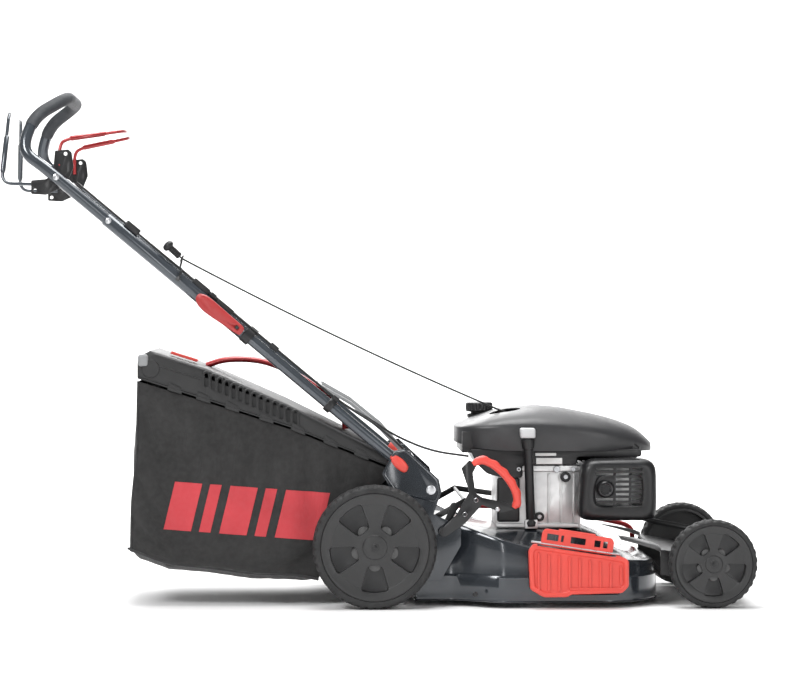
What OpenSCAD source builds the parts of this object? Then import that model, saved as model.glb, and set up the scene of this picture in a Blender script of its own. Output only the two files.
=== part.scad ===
// Walk-behind petrol lawn mower with a rear grass catcher and a folding, telescopic handle.
// The ground is Z = 0, +X points the way the mower drives and -Y is its right-hand side.

/* [Wheels] */
// Distance from the rear axle to the front axle
wheelbase = 765; // [740:1:790]
// Radius of the rear wheels
rear_wheel_r = 140; // [138:1:142]
// Radius of the front wheels
front_wheel_r = 100; // [98:1:102]
// Width of every wheel
wheel_w = 48; // [44:1:50]
// Distance from the centre plane to a wheel's outer face
wheel_out = 282; // [280:1:288]

/* [Deck] */
// Height of the deck's lower edge at the lowest cut
skirt_z = 14; // [10:1:20]
// Half width of the deck
deck_half_w = 262; // [258:1:264]
// Wall of the pressed steel deck
deck_wall = 2.5; // [2:0.5:3]
// Radius swept by the blade
blade_r = 254; // [240:1:255]

/* [Engine] */
// Distance from the rear axle to the crankshaft
crank_dx = 375; // [370:1:380]
// Height of the face that the engine is bolted to
engine_z = 170; // [168:1:174]
// Half width of the engine's cowl
cowl_half_w = 147; // [140:1:152]

/* [Handle] */
// Distance from the centre plane to a handle tube's axis
tube_y = 212; // [210:1:213]
// Slope of the handle above the horizontal
handle_angle = 39.9; // [38:0.1:41]
// Outer radius of the lower tubes
lower_tube_r = 12.5; // [12:0.5:13]
// Outer radius of the sleeves that slide on the lower tubes
sleeve_r = 15.5; // [15:0.5:16]
// Outer radius of the upper handle's loop
loop_r = 13.5; // [13:0.5:14]

/* [Catcher] */
// Half width of the grass bag
bag_half_w = 192; // [185:1:194]
// Wall of the fabric bag, with its wire frame
bag_wall = 3; // [3:1:6]

/* [Hidden] */

$fn = 64;
eps = 1;                    // how far a cutter runs past the face that it cuts
right = -1;                 // sign of Y on the right-hand side
left = 1;                   // sign of Y on the left-hand side
sides = [right, left];

rear_x = -9;
front_x = rear_x + wheelbase;
crank_x = rear_x + crank_dx;
wheel_in = wheel_out - wheel_w;

// The axle carriers swing on these axes, and their cranks hold the wheels.
crank_arm = 60;
arm_rest_angle = 24.6;
arm_dx = crank_arm * cos(arm_rest_angle);
arm_dz = crank_arm * sin(arm_rest_angle);
rear_pivot = [rear_x + arm_dx, rear_wheel_r - arm_dz];
front_pivot = [front_x + arm_dx, front_wheel_r - arm_dz];
lever_pivot = [rear_x + 157, 172];
link_dx = crank_arm * sin(arm_rest_angle);   // from each pivot to the link rods' pins
link_dz = crank_arm * cos(arm_rest_angle);
pin_r = 5;
link_y = 207;               // inner face of a link rod
link_t = 5;
stub_r = 6;                 // radius of the axle stubs
shaft_r = 6;                // radius of the drive shaft
arm_in = 217;               // inner face of a carrier's arm
arm_t = 5;                  // thickness of a carrier's arm
run_gap = 0.1;              // radial play of what turns on a shaft
joint_gap = 0.5;            // space between faces that move past each other

// Wheel drive: a pinion on each end of the shaft turns a ring gear in the wheel.
gear_module = 2;
pinion_teeth = 15;
ring_teeth = 75;
gear_y = 237;               // where the gears' teeth start
gear_w = 9;

// The handle's own frame: distances along the tube are measured from the fold pivot.
fold_pivot = [rear_x + 128, 266.5];
tube_u = [-cos(handle_angle), sin(handle_angle)];
tube_n = [sin(handle_angle), cos(handle_angle)];
sleeve_start = 537;
sleeve_end = 956;
lower_tube_end = 740;
bracket_y = 229;            // inner face of a handle bracket
bracket_t = 3;

belt_z = 146;
crank_pulley_r = 26;
gearbox_pulley_r = 34;
gearbox_x = rear_pivot[0] + 34;
hub_z = 42;                 // underside of the blade hub
blade_z = 34;
blade_t = 4;
flywheel_z = 352;

cowl_bottom = 341;
cowl_t = 3;

// Outlines in the side view: [distance ahead of the rear axle, height].
bracket_outline = [[17, 303], [44, 355], [70, 360], [146, 290], [152, 262], [134, 212], [196, 182],
                   [196, 140], [150, 60], [100, 60], [30, 88], [24, 150], [44, 240], [40, 262]];
bag_outline = [[-536, 548], [-540, 340], [-551, 238], [-553, 128], [-466, 96], [-380, 88], [-282, 74],
               [-180, 71], [-126, 60], [-92, 168], [52, 310]];

// Corners of the handle's loop in the side view, and the bolts that both bails turn on.
loop_corner = [[-796, 1032], [-772, 1112], [-700, 1160]];
bail_bolt_t = 1101;
bail_pivot = [fold_pivot[0] + tube_u[0] * bail_bolt_t, fold_pivot[1] + tube_u[1] * bail_bolt_t];

// Side flap: its hinge rod slopes down to the front along the deck's shoulder.
flap_y = 286;               // outer face of the flap
flap_hinge = [rear_x + 352, -270, 152];
flap_slope = 8.5;
hinge_rod_r = 3;
flap_outline = [[356, 148], [557, 118], [572, 110], [572, 51], [557, 36], [441, 33], [378, 27], [349, 45],
                [345, 132]];

// Starter rope, drawn taut from the cowl to the guide on the handle.
rope_hole = [rear_x + 311, -60, 434];
rope_eye = [rear_x - 435, -207, 790];

// Fuel cap, exhaust outlet and oil dipstick.
cap_pos = [rear_x + 256, 60];
cap_z = 432;
cap_r = 32;
exhaust = [rear_x + 530, 264];
exhaust_r = 11;
dip_base = [rear_x + 364, -124, 178];
dip_top = [rear_x + 353, -167, 380];

function side_pt(p) = [rear_x + p[0], p[1]];
function side_pts(points) = [for (p = points) side_pt(p)];
function tube_pt(t, n) = [fold_pivot[0] + tube_u[0] * t + tube_n[0] * n,
                          fold_pivot[1] + tube_u[1] * t + tube_n[1] * n];
function tube3(t, n, y) = [tube_pt(t, n)[0], y, tube_pt(t, n)[1]];
function unit(v) = v / norm(v);

// A path whose corners are rounded: each corner is a short curve that starts and ends reach away.
function rounded_path(points, reach, steps) =
  let (last = len(points) - 1)
  concat(
    [points[0]],
    [for (i = [1:last - 1])
      let (p = points[i],
           back = min(reach, norm(points[i - 1] - p) * 0.48),
           ahead = min(reach, norm(points[i + 1] - p) * 0.48),
           from = p + unit(points[i - 1] - p) * back,
           to = p + unit(points[i + 1] - p) * ahead)
      for (k = [0:steps])
        let (s = k / steps)
        from * (1 - s) * (1 - s) + p * 2 * s * (1 - s) + to * s * s],
    [points[last]]);

function path_dir(path, i) =
  let (last = len(path) - 1)
  i == 0 ? unit(path[1] - path[0]) :
  i == last ? unit(path[last] - path[last - 1]) :
  unit(unit(path[i + 1] - path[i]) + unit(path[i] - path[i - 1]));
function start_normal(d) = unit(abs(d[2]) < 0.8 ? cross(d, [0, 0, 1]) : cross(d, [1, 0, 0]));
// Carries a normal along the path without twist.
function path_normals(path, i, normal) =
  let (d = path_dir(path, i), n = unit(normal - d * (normal * d)))
  i == len(path) - 1 ? [n] : concat([n], path_normals(path, i + 1, n));

// A round rod or cord swept along a path.
module sweep(path, r, count) {
  normals = path_normals(path, 0, start_normal(path_dir(path, 0)));
  rings = len(path);
  points = [for (i = [0:rings - 1])
    let (n = normals[i], b = cross(path_dir(path, i), n))
    for (k = [0:count - 1]) path[i] + (n * cos(360 * k / count) + b * sin(360 * k / count)) * r];
  walls = [for (i = [0:rings - 2], k = [0:count - 1])
    let (a = i * count + k, b = i * count + (k + 1) % count)
    [a, b, b + count, a + count]];
  ends = [[for (k = [count - 1:-1:0]) k], [for (k = [0:count - 1]) (rings - 1) * count + k]];
  polyhedron(points = points, faces = [for (f = concat(walls, ends)) [for (k = [len(f) - 1:-1:0]) f[k]]]);
}

// A plate cut to a side-view outline, from y to y + thickness.
module side_plate(points, y, thickness) {
  translate([0, y + thickness, 0]) rotate([90, 0, 0]) linear_extrude(thickness) polygon(points);
}

// The same plate on one side of the mower: in and out are distances from the centre plane.
module flank_plate(points, side, inner, thickness) {
  side_plate(points, side > 0 ? inner : -inner - thickness, thickness);
}

// A round bar along Y at a side-view point.
module bar_y(p, r, y_min, y_max) {
  translate([p[0], y_min, p[1]]) rotate([-90, 0, 0]) cylinder(h = y_max - y_min, r = r);
}

// A round bar along X at a [Y, Z] point.
module bar_x(y, z, x_min, x_max, r) {
  translate([x_min, y, z]) rotate([0, 90, 0]) cylinder(h = x_max - x_min, r = r);
}

module flank_bar(p, r, side, inner, outer) {
  bar_y(p, r, side > 0 ? inner : -outer, side > 0 ? outer : -inner);
}

// Stands children on a handle tube: their +Z runs up the tube and their +X is its upper side.
module on_tube(t, side) {
  p = tube_pt(t, 0);
  translate([p[0], side * tube_y, p[1]]) rotate([0, handle_angle - 90, 0]) children();
}

module box(low, high) {
  translate(low) cube(high - low);
}

// ---- Deck ----

// Plan outline of the deck, moved inwards by inset.
module deck_plan(inset) {
  corner_r = 150;
  corner_x = front_x - 111 - corner_r;
  hull() {
    for (s = sides) {
      translate([corner_x, s * (deck_half_w - corner_r)]) circle(r = corner_r - inset, $fn = 48);
      translate([rear_x + 262, s * (deck_half_w - 24)]) circle(r = 24 - inset, $fn = 32);
      translate([rear_x + 172, s * (205 - 12)]) circle(r = 12 - inset, $fn = 32);
      translate([rear_x + 104, s * (205 - 12)]) circle(r = 12 - inset, $fn = 32);
    }
  }
}

// The pressed shape: an upright skirt and a crown that rises towards the rear.
module deck_form(inset) {
  floor_z = inset > 0 ? skirt_z - eps : skirt_z;
  crown_slope = 0.14;
  crown_front_z = 102;
  hull() {
    translate([0, 0, floor_z]) linear_extrude(72 - floor_z) deck_plan(inset);
    multmatrix([[1, 0, 0, 0], [0, 1, 0, 0],
                [-crown_slope, 0, 1, crown_front_z + crown_slope * (front_x - 111) - inset], [0, 0, 0, 1]])
      translate([0, 0, -eps]) linear_extrude(eps) deck_plan(22 + inset);
    translate([crank_x, 0, engine_z - inset - eps]) cylinder(h = eps, r = 112, $fn = 48);
  }
  hull() {
    box([rear_x + 92 + inset, -205 + inset, 70], [rear_x + 240, 205 - inset, 72]);
    box([rear_x + 92 + inset, -182 + inset, 211 - inset], [rear_x + 140, 182 - inset, 212 - inset]);
    box([rear_x + 220, -195 + inset, 152 - inset], [rear_x + 240, 195 - inset, 153 - inset]);
  }
}

module deck() {
  mouth_half_w = 150;
  belt_slot_half_w = 60;
  flap_mouth = [rear_x + 372, rear_x + 556];
  color("dimgray") difference() {
    deck_form(0);
    deck_form(deck_wall);
    box([rear_x + 80, -mouth_half_w, 160], [rear_x + 110, mouth_half_w, 204]);
    box([rear_x + 80, -belt_slot_half_w, 20], [rear_x + 110, belt_slot_half_w, 157]);
    box([flap_mouth[0], -deck_half_w - 20, 30], [flap_mouth[1], -deck_half_w + 40, 70]);
    translate([crank_x, 0, engine_z - 40]) cylinder(h = 60, r = 34);
    engine_bolts() translate([0, 0, engine_z - 20]) cylinder(h = 40, r = engine_bolt_r + run_gap);
  }
}

engine_bolt_r = 4;
// Stands children at each of the four bolts that hold the engine down.
module engine_bolts() {
  for (a = [45:90:315]) translate([crank_x + 92 * cos(a), 92 * sin(a), 0]) children();
}

module front_housing() {
  back = front_x - 112;
  nose = front_x + 82;
  color("dimgray") difference() {
    hull() {
      box([back, -206, 104], [back + 10, 206, 126]);
      box([back, -206, 70], [back + 10, 206, 104]);
      box([nose - 60, -206, 52], [nose - 50, 206, 100]);
      translate([nose - 20, 0, 52]) cylinder(h = 36, r = 20, $fn = 32);
      for (s = sides) translate([nose - 40, s * 166, 52]) cylinder(h = 38, r = 40, $fn = 32);
    }
    hull() {
      box([back - eps, -202, 40], [back + 10, 202, 121]);
      box([nose - 64, -202, 40], [nose - 54, 202, 95]);
      for (s = sides) translate([nose - 40, s * 166, 40]) cylinder(h = 45, r = 36, $fn = 32);
    }
    bar_y(front_pivot, stub_r + joint_gap, -220, 220);
  }
  color("silver") for (s = sides) difference() {
    flank_plate([[back, 112], [back + 66, 96], [back + 66, 108], [back, 126]], s, 206, 4);
    bar_y(front_pivot, stub_r + joint_gap, -220, 220);
  }
}

module handle_brackets() {
  color("dimgray") for (s = sides) difference() {
    union() {
      flank_plate(side_pts(bracket_outline), s, bracket_y, bracket_t);
      flank_plate([[rear_x + 104, 62], [rear_x + 148, 62], [rear_x + 148, 132], [rear_x + 104, 132]],
                  s, 205, bracket_y - 205);
    }
    bar_y(fold_pivot, 4, -240, 240);
    bar_y(lever_pivot, pin_r + run_gap, -240, 240);
    bar_y(rear_pivot, 15 + run_gap, -240, 240);
  }
}

// Carry rail along the left edge of the deck.
module side_rail() {
  y = 236;
  rail = [[rear_x + 205, y - 26, 172], [rear_x + 205, y, 196], [rear_x + 400, y, 190], [rear_x + 566, y, 162],
          [rear_x + 640, y - 8, 146], [rear_x + 640, y - 30, 112]];
  color("firebrick") sweep(rounded_path(rail, 24, 4), 6, 12);
}

// Grass runs from the deck's mouth through this tunnel into the catcher. Two lugs carry the rear door.
module rear_chute() {
  half_w = 156;
  wall = 3;
  shell = [[90, 158], [90, 213.5], [138, 213.5], [98, 330], [72, 328], [-70, 178], [-70, 168]];
  hollow = [[95, 162], [95, 217], [133, 217], [93, 334], [62, 336], [-82, 186], [-82, 172], [60, 162]];
  color("dimgray") {
    difference() {
      side_plate(side_pts(shell), -half_w, half_w * 2);
      side_plate(side_pts(hollow), wall - half_w, (half_w - wall) * 2);
    }
    for (s = sides) difference() {
      flank_plate(side_pts([[68, 318], [96, 318], [84, 350], [66, 350]]), s, half_w - 5, 5);
      bar_y(door_hinge, door_pin_r + run_gap, -half_w - eps, half_w + eps);
    }
  }
}

// Red grille on the deck's shoulder that carries the side flap's hinge rod.
module flap_bracket() {
  foot_y = -238;
  pitch = 32;
  start = 22;
  length = 5 * pitch + 4;
  color("tomato") on_flap_hinge() difference() {
    union() {
      box([start, -2, -4], [start + length, 4, 34]);
      box([start, 0, -4], [start + length, foot_y - flap_hinge[1], 0]);
    }
    for (i = [0:4]) translate([start + 6 + i * pitch, -3, 6]) cube([24, 8, 22]);
  }
  color("silver") on_flap_hinge() rotate([0, 90, 0]) cylinder(h = 205, r = hinge_rod_r);
}

// Handle pivot bolts and engine bolts.
module fasteners() {
  color("silver") {
    for (s = sides) {
      flank_bar(fold_pivot, 3.9, s, 194, 236);
      flank_bar(fold_pivot, 9, s, bracket_y + bracket_t, bracket_y + bracket_t + 6);
    }
    engine_bolts() {
      translate([0, 0, engine_z - 8]) cylinder(h = 26, r = engine_bolt_r);
      translate([0, 0, engine_z - deck_wall - 6]) cylinder(h = 6, r = 7, $fn = 6);
    }
  }
}

module on_flap_hinge() {
  translate(flap_hinge) rotate([0, flap_slope, 0]) children();
}

// ---- Engine ----

cowl_post_x = [crank_x - 60, crank_x + 60];
port = [crank_x + 168, 262];
port_y = 66;                // outer faces of the cylinder's two ports

module engine_block() {
  case_half_w = 112;
  case_top = 300;
  post_z = case_top + 2;
  barrel = [crank_x + 66, crank_x + 232];
  color("silver") difference() {
    union() {
      box([crank_x - 86, -case_half_w, engine_z], [crank_x + 105, case_half_w, case_top]);
      translate([crank_x, 0, engine_z]) cylinder(h = 168, r = 80);
      box([crank_x - 92, -118, case_top + 2], [crank_x + 107, 118, case_top + 12]);
      box([crank_x - 60, -60, case_top - eps], [crank_x + 60, 60, case_top + 3]);
      box([barrel[0], -46, 205], [barrel[1], 46, 302]);
      for (x = [crank_x + 116:11:crank_x + 215]) box([x, -62, 192], [x + 3, 62, 316]);
      box([barrel[1] - 10, -52, 200], [barrel[1] + 24, 52, 308]);
      box([crank_x + 144, -port_y, 240], [crank_x + 192, port_y, 284]);
      box([dip_base[0] - 14, -136, engine_z], [dip_base[0] + 14, -110, dip_base[2] + 12]);
      for (x = cowl_post_x, y = [-110, 110]) translate([x, y, post_z])
        cylinder(h = cowl_bottom - post_z, r = 6);
    }
    engine_bolts() translate([0, 0, engine_z - eps]) cylinder(h = 20, r = engine_bolt_r + run_gap);
    translate([crank_x, 0, engine_z - eps]) cylinder(h = 200, r = 12.5 + run_gap);
    translate([crank_x, 0, engine_z + 16]) cylinder(h = 120, r = 66);
    box([crank_x - 80, -106, engine_z + 24], [crank_x + 99, 106, case_top - 8]);
    bar_x(0, bore_z, crank_x + 40, crank_x + 215, 33);
    bar_x(0, bore_z, barrel[1] - 20, barrel[1] + 30, 6);
  }
}

bore_z = 253;               // height of the cylinder's axis

// Plan outline of the cowl between two X positions, with round corners.
module cowl_plan(x_min, x_max, half_w, corner) {
  for (x = [x_min + corner, x_max - corner], s = sides) translate([x, s * (half_w - corner), 0])
    circle(r = corner, $fn = 20);
}

// The cowl's form; inset gives the hollow inside it.
module cowl_form(inset) {
  low = inset > 0 ? cowl_bottom - eps : cowl_bottom;
  back = rear_x + 192 + inset;
  front = rear_x + 656 - inset;
  fall = 0.075;
  hull() {
    translate([0, 0, low]) linear_extrude(1) cowl_plan(back, front, cowl_half_w - inset, 58 - inset);
    multmatrix([[1, 0, 0, 0], [0, 1, 0, 0], [-fall, 0, 1, 396 + fall * (rear_x + 192) - inset], [0, 0, 0, 1]])
      linear_extrude(1) cowl_plan(back, front, cowl_half_w - inset, 58 - inset);
    translate([0, 0, 421 - inset]) linear_extrude(1)
      cowl_plan(rear_x + 232 + inset, rear_x + 520 - inset, 112 - inset, 60 - inset);
    translate([0, 0, 449 - inset]) linear_extrude(1)
      cowl_plan(rear_x + 290 + inset, rear_x + 430 - inset, 74 - inset, 60 - inset);
  }
}

module engine_cover() {
  color("dimgray") difference() {
    cowl_form(0);
    cowl_form(cowl_t);
    translate([cap_pos[0], cap_pos[1], 380]) cylinder(h = 80, r = 25);
    hull() for (run = [[0, 0, 0], [-38, -7.5, 0]]) translate(rope_hole + run) cylinder(h = 60, r = 8, center = true);
    translate([cap_pos[0], cap_pos[1], cap_z - 1]) cylinder(h = 40, r = cap_r + 2);
  }
  ear = [102, cowl_half_w - 1.5];
  color("dimgray") for (x = cowl_post_x, s = sides) {
    y = s > 0 ? ear : [-ear[1], -ear[0]];
    box([x - 9, y[0], cowl_bottom], [x + 9, y[1], cowl_bottom + 4]);
  }
}

module fuel_tank() {
  wall = 3;
  low = [rear_x + 206, -112, 344];
  high = [rear_x + 268, 118, 392];
  color("dimgray") difference() {
    union() {
      box(low, high);
      translate([cap_pos[0], cap_pos[1], high[2] - 2]) cylinder(h = cap_z - high[2] + 2, r = 20);
    }
    box(low + [wall, wall, wall], high - [wall, wall, wall]);
    translate([cap_pos[0], cap_pos[1], high[2] - 4]) cylinder(h = 60, r = 17);
  }
}

module fuel_cap() {
  rib_count = 18;
  color("dimgray") difference() {
    translate([cap_pos[0], cap_pos[1], cap_z + joint_gap]) cylinder(h = 22, r = cap_r);
    for (a = [0:360 / rib_count:359]) {
      translate([cap_pos[0] + (cap_r + 1) * cos(a), cap_pos[1] + (cap_r + 1) * sin(a), cap_z - 2])
        cylinder(h = 20, r = 3, $fn = 16);
    }
  }
}

module muffler() {
  pipe_y = -192;
  color("silver") {
    difference() {
      union() {
        box([rear_x + 484, -134, 206], [rear_x + 632, -78, 318]);
        bar_y(port, 18, -79, -port_y);
        bar_y(exhaust, 16, pipe_y, -133);
      }
      box([rear_x + 486, -132, 208], [rear_x + 630, -80, 316]);
      bar_y(exhaust, exhaust_r, pipe_y - eps, -150);
      bar_y(exhaust, 8, -151, -131);
      bar_y(port, 14, -81, -port_y + eps);
    }
  }
}

module muffler_guard() {
  back = rear_x + 468;
  front = rear_x + 650;
  slot_count = 7;
  color("dimgray") difference() {
    box([back, -187, 190], [front, -139, 332]);
    box([back + 3, -183, 193], [front - 3, -138, 329]);
    bar_y(exhaust, 20, -200, -130);
    for (i = [0:slot_count - 1]) {
      translate([back + 40, -190, 204 + i * 16]) cube([18, 8, 6]);
      translate([back + 96, -190, 204 + i * 16]) cube([70, 8, 6]);
    }
  }
  color("dimgray") for (p = [[32, 214], [148, 310]]) bar_y([back + p[0], p[1]], 5, -184, -134);
}

// Carburettor on the cylinder's left side and the air filter box outside it.
module intake() {
  wall = 3;
  low = [crank_x + 112, 96, 205];
  high = [crank_x + 262, 146, 326];
  difference() {
    union() {
      color("silver") bar_y(port, 18, port_y, 97);
      color("dimgray") box(low, high);
    }
    box(low + [wall, wall, wall], high - [wall, wall, wall]);
    bar_y(port, 12, port_y - eps, 100);
  }
}

module spark_plug() {
  color("silver") bar_x(0, bore_z, crank_x + 240, crank_x + 259, 5.9);
  color("white") bar_x(0, bore_z, crank_x + 258, crank_x + 275, 5);
  color("dimgray") bar_x(0, bore_z, crank_x + 274, crank_x + 294, 11);
}

module dipstick_tube() {
  color("dimgray") difference() {
    rod(dip_base, dip_top, 10);
    rod(dip_base + 0.2 * (dip_top - dip_base), dip_top + 0.1 * (dip_top - dip_base), 7.5);
  }
}

module dipstick() {
  d = unit(dip_top - dip_base);
  color("gainsboro") rod(dip_top + d * joint_gap, dip_top + d * 24, 18);
  color("silver") rod(dip_top - d * 150, dip_top + d * 2, 3);
}

// A round rod between two points.
module rod(from, to, r) {
  v = to - from;
  translate(from) rotate([0, acos(v[2] / norm(v)), atan2(v[1], v[0])]) cylinder(h = norm(v), r = r);
}

// ---- Crankshaft and blade ----

module crankshaft() {
  color("silver") {
    translate([crank_x, 0, hub_z + 12]) cylinder(h = flywheel_z + 26 - hub_z - 12, r = 12.5);
    translate([crank_x, 0, 236]) cylinder(h = 12, r = 40);
    translate([crank_x, 0, 258]) cylinder(h = 12, r = 40);
    translate([crank_x + 24, 0, 246]) cylinder(h = 14, r = 11);
  }
}

module flywheel() {
  color("silver") difference() {
    union() {
      translate([crank_x, 0, flywheel_z]) cylinder(h = 14, r = 92);
      translate([crank_x, 0, flywheel_z + 14]) cylinder(h = 10, r = 30);
      for (a = [0:30:330]) {
        translate([crank_x, 0, flywheel_z + 13]) rotate([0, 0, a]) translate([58, -1.5, 0]) cube([30, 3, 14]);
      }
    }
    translate([crank_x, 0, flywheel_z - eps]) cylinder(h = 40, r = 12.5);
  }
}

// Blade holder and belt pulley in one piece, fixed on the crankshaft.
module blade_hub() {
  color("silver") difference() {
    union() {
      translate([crank_x, 0, hub_z]) cylinder(h = 8, r = 36);
      translate([crank_x, 0, hub_z]) cylinder(h = belt_z - hub_z, r = 20);
      translate([crank_x, 0, belt_z - 8]) cylinder(h = 16, r = crank_pulley_r - 3);
      for (z = [belt_z - 8, belt_z + 5]) translate([crank_x, 0, z]) cylinder(h = 3, r = crank_pulley_r + 4);
    }
    translate([crank_x, 0, hub_z + 12]) cylinder(h = 120, r = 12.5);
    translate([crank_x, 0, hub_z - eps]) cylinder(h = 14, r = 5);
  }
  color("silver") {
    translate([crank_x, 0, blade_z - 8]) cylinder(h = 8, r = 9, $fn = 6);
    translate([crank_x, 0, blade_z - 2]) cylinder(h = 18, r = 4.9);
  }
}

// Flat bar with a lifted wing on the trailing edge of each end.
module blade() {
  half_w = 30;
  wing = [[12, 0.5], [12, blade_t - 0.5], [34, blade_t + 11], [36, blade_t + 8], [20, 0.5]];
  color("silver") difference() {
    union() {
      box([crank_x - half_w, -blade_r + 2, blade_z], [crank_x + half_w, blade_r - 2, blade_z + blade_t]);
      for (s = sides) flank_plate([for (p = wing) [crank_x - s * p[0], blade_z + p[1]]], s, blade_r - 76, 70);
    }
    translate([crank_x, 0, blade_z - eps]) cylinder(h = blade_t + 2 * eps, r = 5.2);
  }
}

// ---- Wheel drive ----

module gearbox() {
  color("dimgray") difference() {
    union() {
      box([rear_pivot[0] - 26, -38, 88], [rear_pivot[0] + 34, 38, 134]);
      box([rear_x + 84, -75, 96], [rear_x + 92, 75, 108]);
      bar_y(rear_pivot, 14, -60, 60);
      translate([gearbox_x, 0, 120]) cylinder(h = 18, r = 12);
    }
    bar_y(rear_pivot, shaft_r + run_gap, -70, 70);
    translate([gearbox_x, 0, 110]) cylinder(h = 40, r = 7 + run_gap);
  }
}

module gearbox_pulley() {
  color("silver") {
    translate([gearbox_x, 0, belt_z - 5]) cylinder(h = 10, r = gearbox_pulley_r - 3);
    for (z = [belt_z - 7, belt_z + 4]) translate([gearbox_x, 0, z]) cylinder(h = 3, r = gearbox_pulley_r + 3);
    translate([gearbox_x, 0, 111]) cylinder(h = 30, r = 7);
  }
}

// Flat loop round both pulleys.
module drive_belt() {
  color("dimgray") translate([0, 0, belt_z - 3.5]) linear_extrude(7) difference() {
    belt_loop(6);
    belt_loop(0.3);
  }
}

module belt_loop(extra) {
  hull() {
    translate([gearbox_x, 0]) circle(r = gearbox_pulley_r - 3 + extra);
    translate([crank_x, 0]) circle(r = crank_pulley_r - 3 + extra);
  }
}

module driveshaft() {
  color("silver") bar_y(rear_pivot, shaft_r, -gear_y - gear_w - 1, gear_y + gear_w + 1);
}

// Points of a gear's outline: outward teeth for a pinion, or the hollow of a ring gear.
function gear_outline(teeth, root_r, tip_r, root_share, tip_share) = [
  for (i = [0:teeth - 1])
    let (a = 360 * i / teeth, q = 360 / teeth)
    each [[root_r * cos(a - q * root_share), root_r * sin(a - q * root_share)],
          [tip_r * cos(a - q * tip_share), tip_r * sin(a - q * tip_share)],
          [tip_r * cos(a + q * tip_share), tip_r * sin(a + q * tip_share)],
          [root_r * cos(a + q * root_share), root_r * sin(a + q * root_share)]]];

// Lays a plan drawn around a wheel's axis at a side-view point, on one side of the mower.
module flank_extrude(p, side, inner, thickness) {
  y = side > 0 ? inner : -inner - thickness;
  translate([p[0], y + thickness, p[1]]) rotate([90, 0, 0]) linear_extrude(thickness) children();
}

mesh_angle = atan2(rear_pivot[1] - rear_wheel_r, rear_pivot[0] - rear_x);
pinion_pitch_r = gear_module * pinion_teeth / 2;
ring_pitch_r = gear_module * ring_teeth / 2;

module drive_pinion(side) {
  color("silver") flank_extrude(rear_pivot, side, gear_y, gear_w) difference() {
    rotate(mesh_angle)
      polygon(gear_outline(pinion_teeth, pinion_pitch_r - 2.3, pinion_pitch_r + 1.7, 0.3, 0.12));
    circle(r = shaft_r + run_gap);
  }
}

module drive_pinion_right() { drive_pinion(right); }
module drive_pinion_left() { drive_pinion(left); }

// ---- Height adjustment ----

// Arm of an axle carrier: from its pivot to the axle stub, with a lug up to the link rod's pin.
module carrier_arm(pivot, side, boss_r) {
  axle = [pivot[0] - arm_dx, pivot[1] + arm_dz];
  pin = [pivot[0] + link_dx, pivot[1] + link_dz];
  stub_out = wheel_out + 1;
  hub_r = 19;
  difference() {
    union() {
      flank_bar(pivot, hub_r, side, arm_in, arm_in + arm_t);
      flank_bar(axle, 14, side, arm_in, arm_in + arm_t);
      flank_bar(pin, 10, side, arm_in, arm_in + arm_t);
      flank_plate(strip(pivot, axle, 24), side, arm_in, arm_t);
      flank_plate(strip(pivot, pin, 16), side, arm_in, arm_t);
      flank_bar(axle, stub_r, side, arm_in + 1, stub_out);
      flank_bar(axle, 11, side, arm_in + 1, wheel_in - joint_gap);
      flank_bar(pin, pin_r, side, link_y - 2, arm_in + 1);
      if (boss_r > 0) flank_bar(pivot, boss_r, side, arm_in + 1, bracket_y + bracket_t + 1);
    }
    if (boss_r > 0) flank_bar(pivot, shaft_r + run_gap, side, 200, 250);
  }
}

// A straight strip of the given width between two side-view points.
function strip(a, b, w) =
  let (d = unit(b - a), n = [-d[1], d[0]] * w / 2) [a + n, b + n, b - n, a - n];

module rear_carrier() {
  beam = [rear_pivot[0] - 20, rear_pivot[1] - 48];
  color("dimgray") {
    for (s = sides) {
      carrier_arm(rear_pivot, s, 15);
      difference() {
        flank_plate(strip(rear_pivot, beam, 20), s, arm_in, arm_t);
        flank_bar(rear_pivot, shaft_r + run_gap, s, 200, 250);
      }
    }
    bar_y(beam, 8, -arm_in - 2, arm_in + 2);
  }
}

module front_carrier() {
  color("dimgray") {
    carrier_arm(front_pivot, right, 0);
    carrier_arm(front_pivot, left, 0);
    bar_y(front_pivot, stub_r, -arm_in - 1, arm_in + 1);
  }
}

// Flat link made of straight strips along a route, with an eye at each pin.
module flat_link(route, pins, side) {
  difference() {
    union() {
      for (i = [0:len(route) - 2]) flank_plate(strip(route[i], route[i + 1], 13), side, link_y, link_t);
      for (p = route) flank_bar(p, 6.7, side, link_y, link_y + link_t);
      for (p = pins) flank_bar(p, 10, side, link_y, link_y + link_t);
    }
    for (p = pins) flank_bar(p, pin_r + joint_gap, side, link_y - eps, link_y + link_t + eps);
  }
}

// Short link to the lever on the right, long link to the front carrier on the left, and the bar between them.
module link_rod() {
  rear_pin = [rear_pivot[0] + link_dx, rear_pivot[1] + link_dz];
  lever_pin = [lever_pivot[0] + link_dx, lever_pivot[1] + link_dz];
  front_pin = [front_pivot[0] + link_dx, front_pivot[1] + link_dz];
  cross_bar = side_pt([206, 240]);
  over_deck = side_pts([[610, 182], [700, 156]]);
  color("dimgray") {
    flat_link([rear_pin, lever_pin, cross_bar], [rear_pin, lever_pin], right);
    flat_link(concat([rear_pin, cross_bar], over_deck, [front_pin]), [rear_pin, front_pin], left);
    bar_y(cross_bar, 4, -link_y - link_t + 1, link_y + link_t - 1);
  }
}

lever_y = 241;
lever_t = 5;
lever_outline = [[196, 316], [214, 262], [184, 210], [152, 180], [150, 164], [162, 162], [203, 190],
                 [243, 233], [288, 215], [312, 222], [304, 236], [243, 250], [228, 260], [222, 305],
                 [232, 326], [214, 334]];
grip_path = [[222, 325], [240, 337], [268, 326], [297, 301], [318, 270], [325, 241], [315, 226]];

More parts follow.
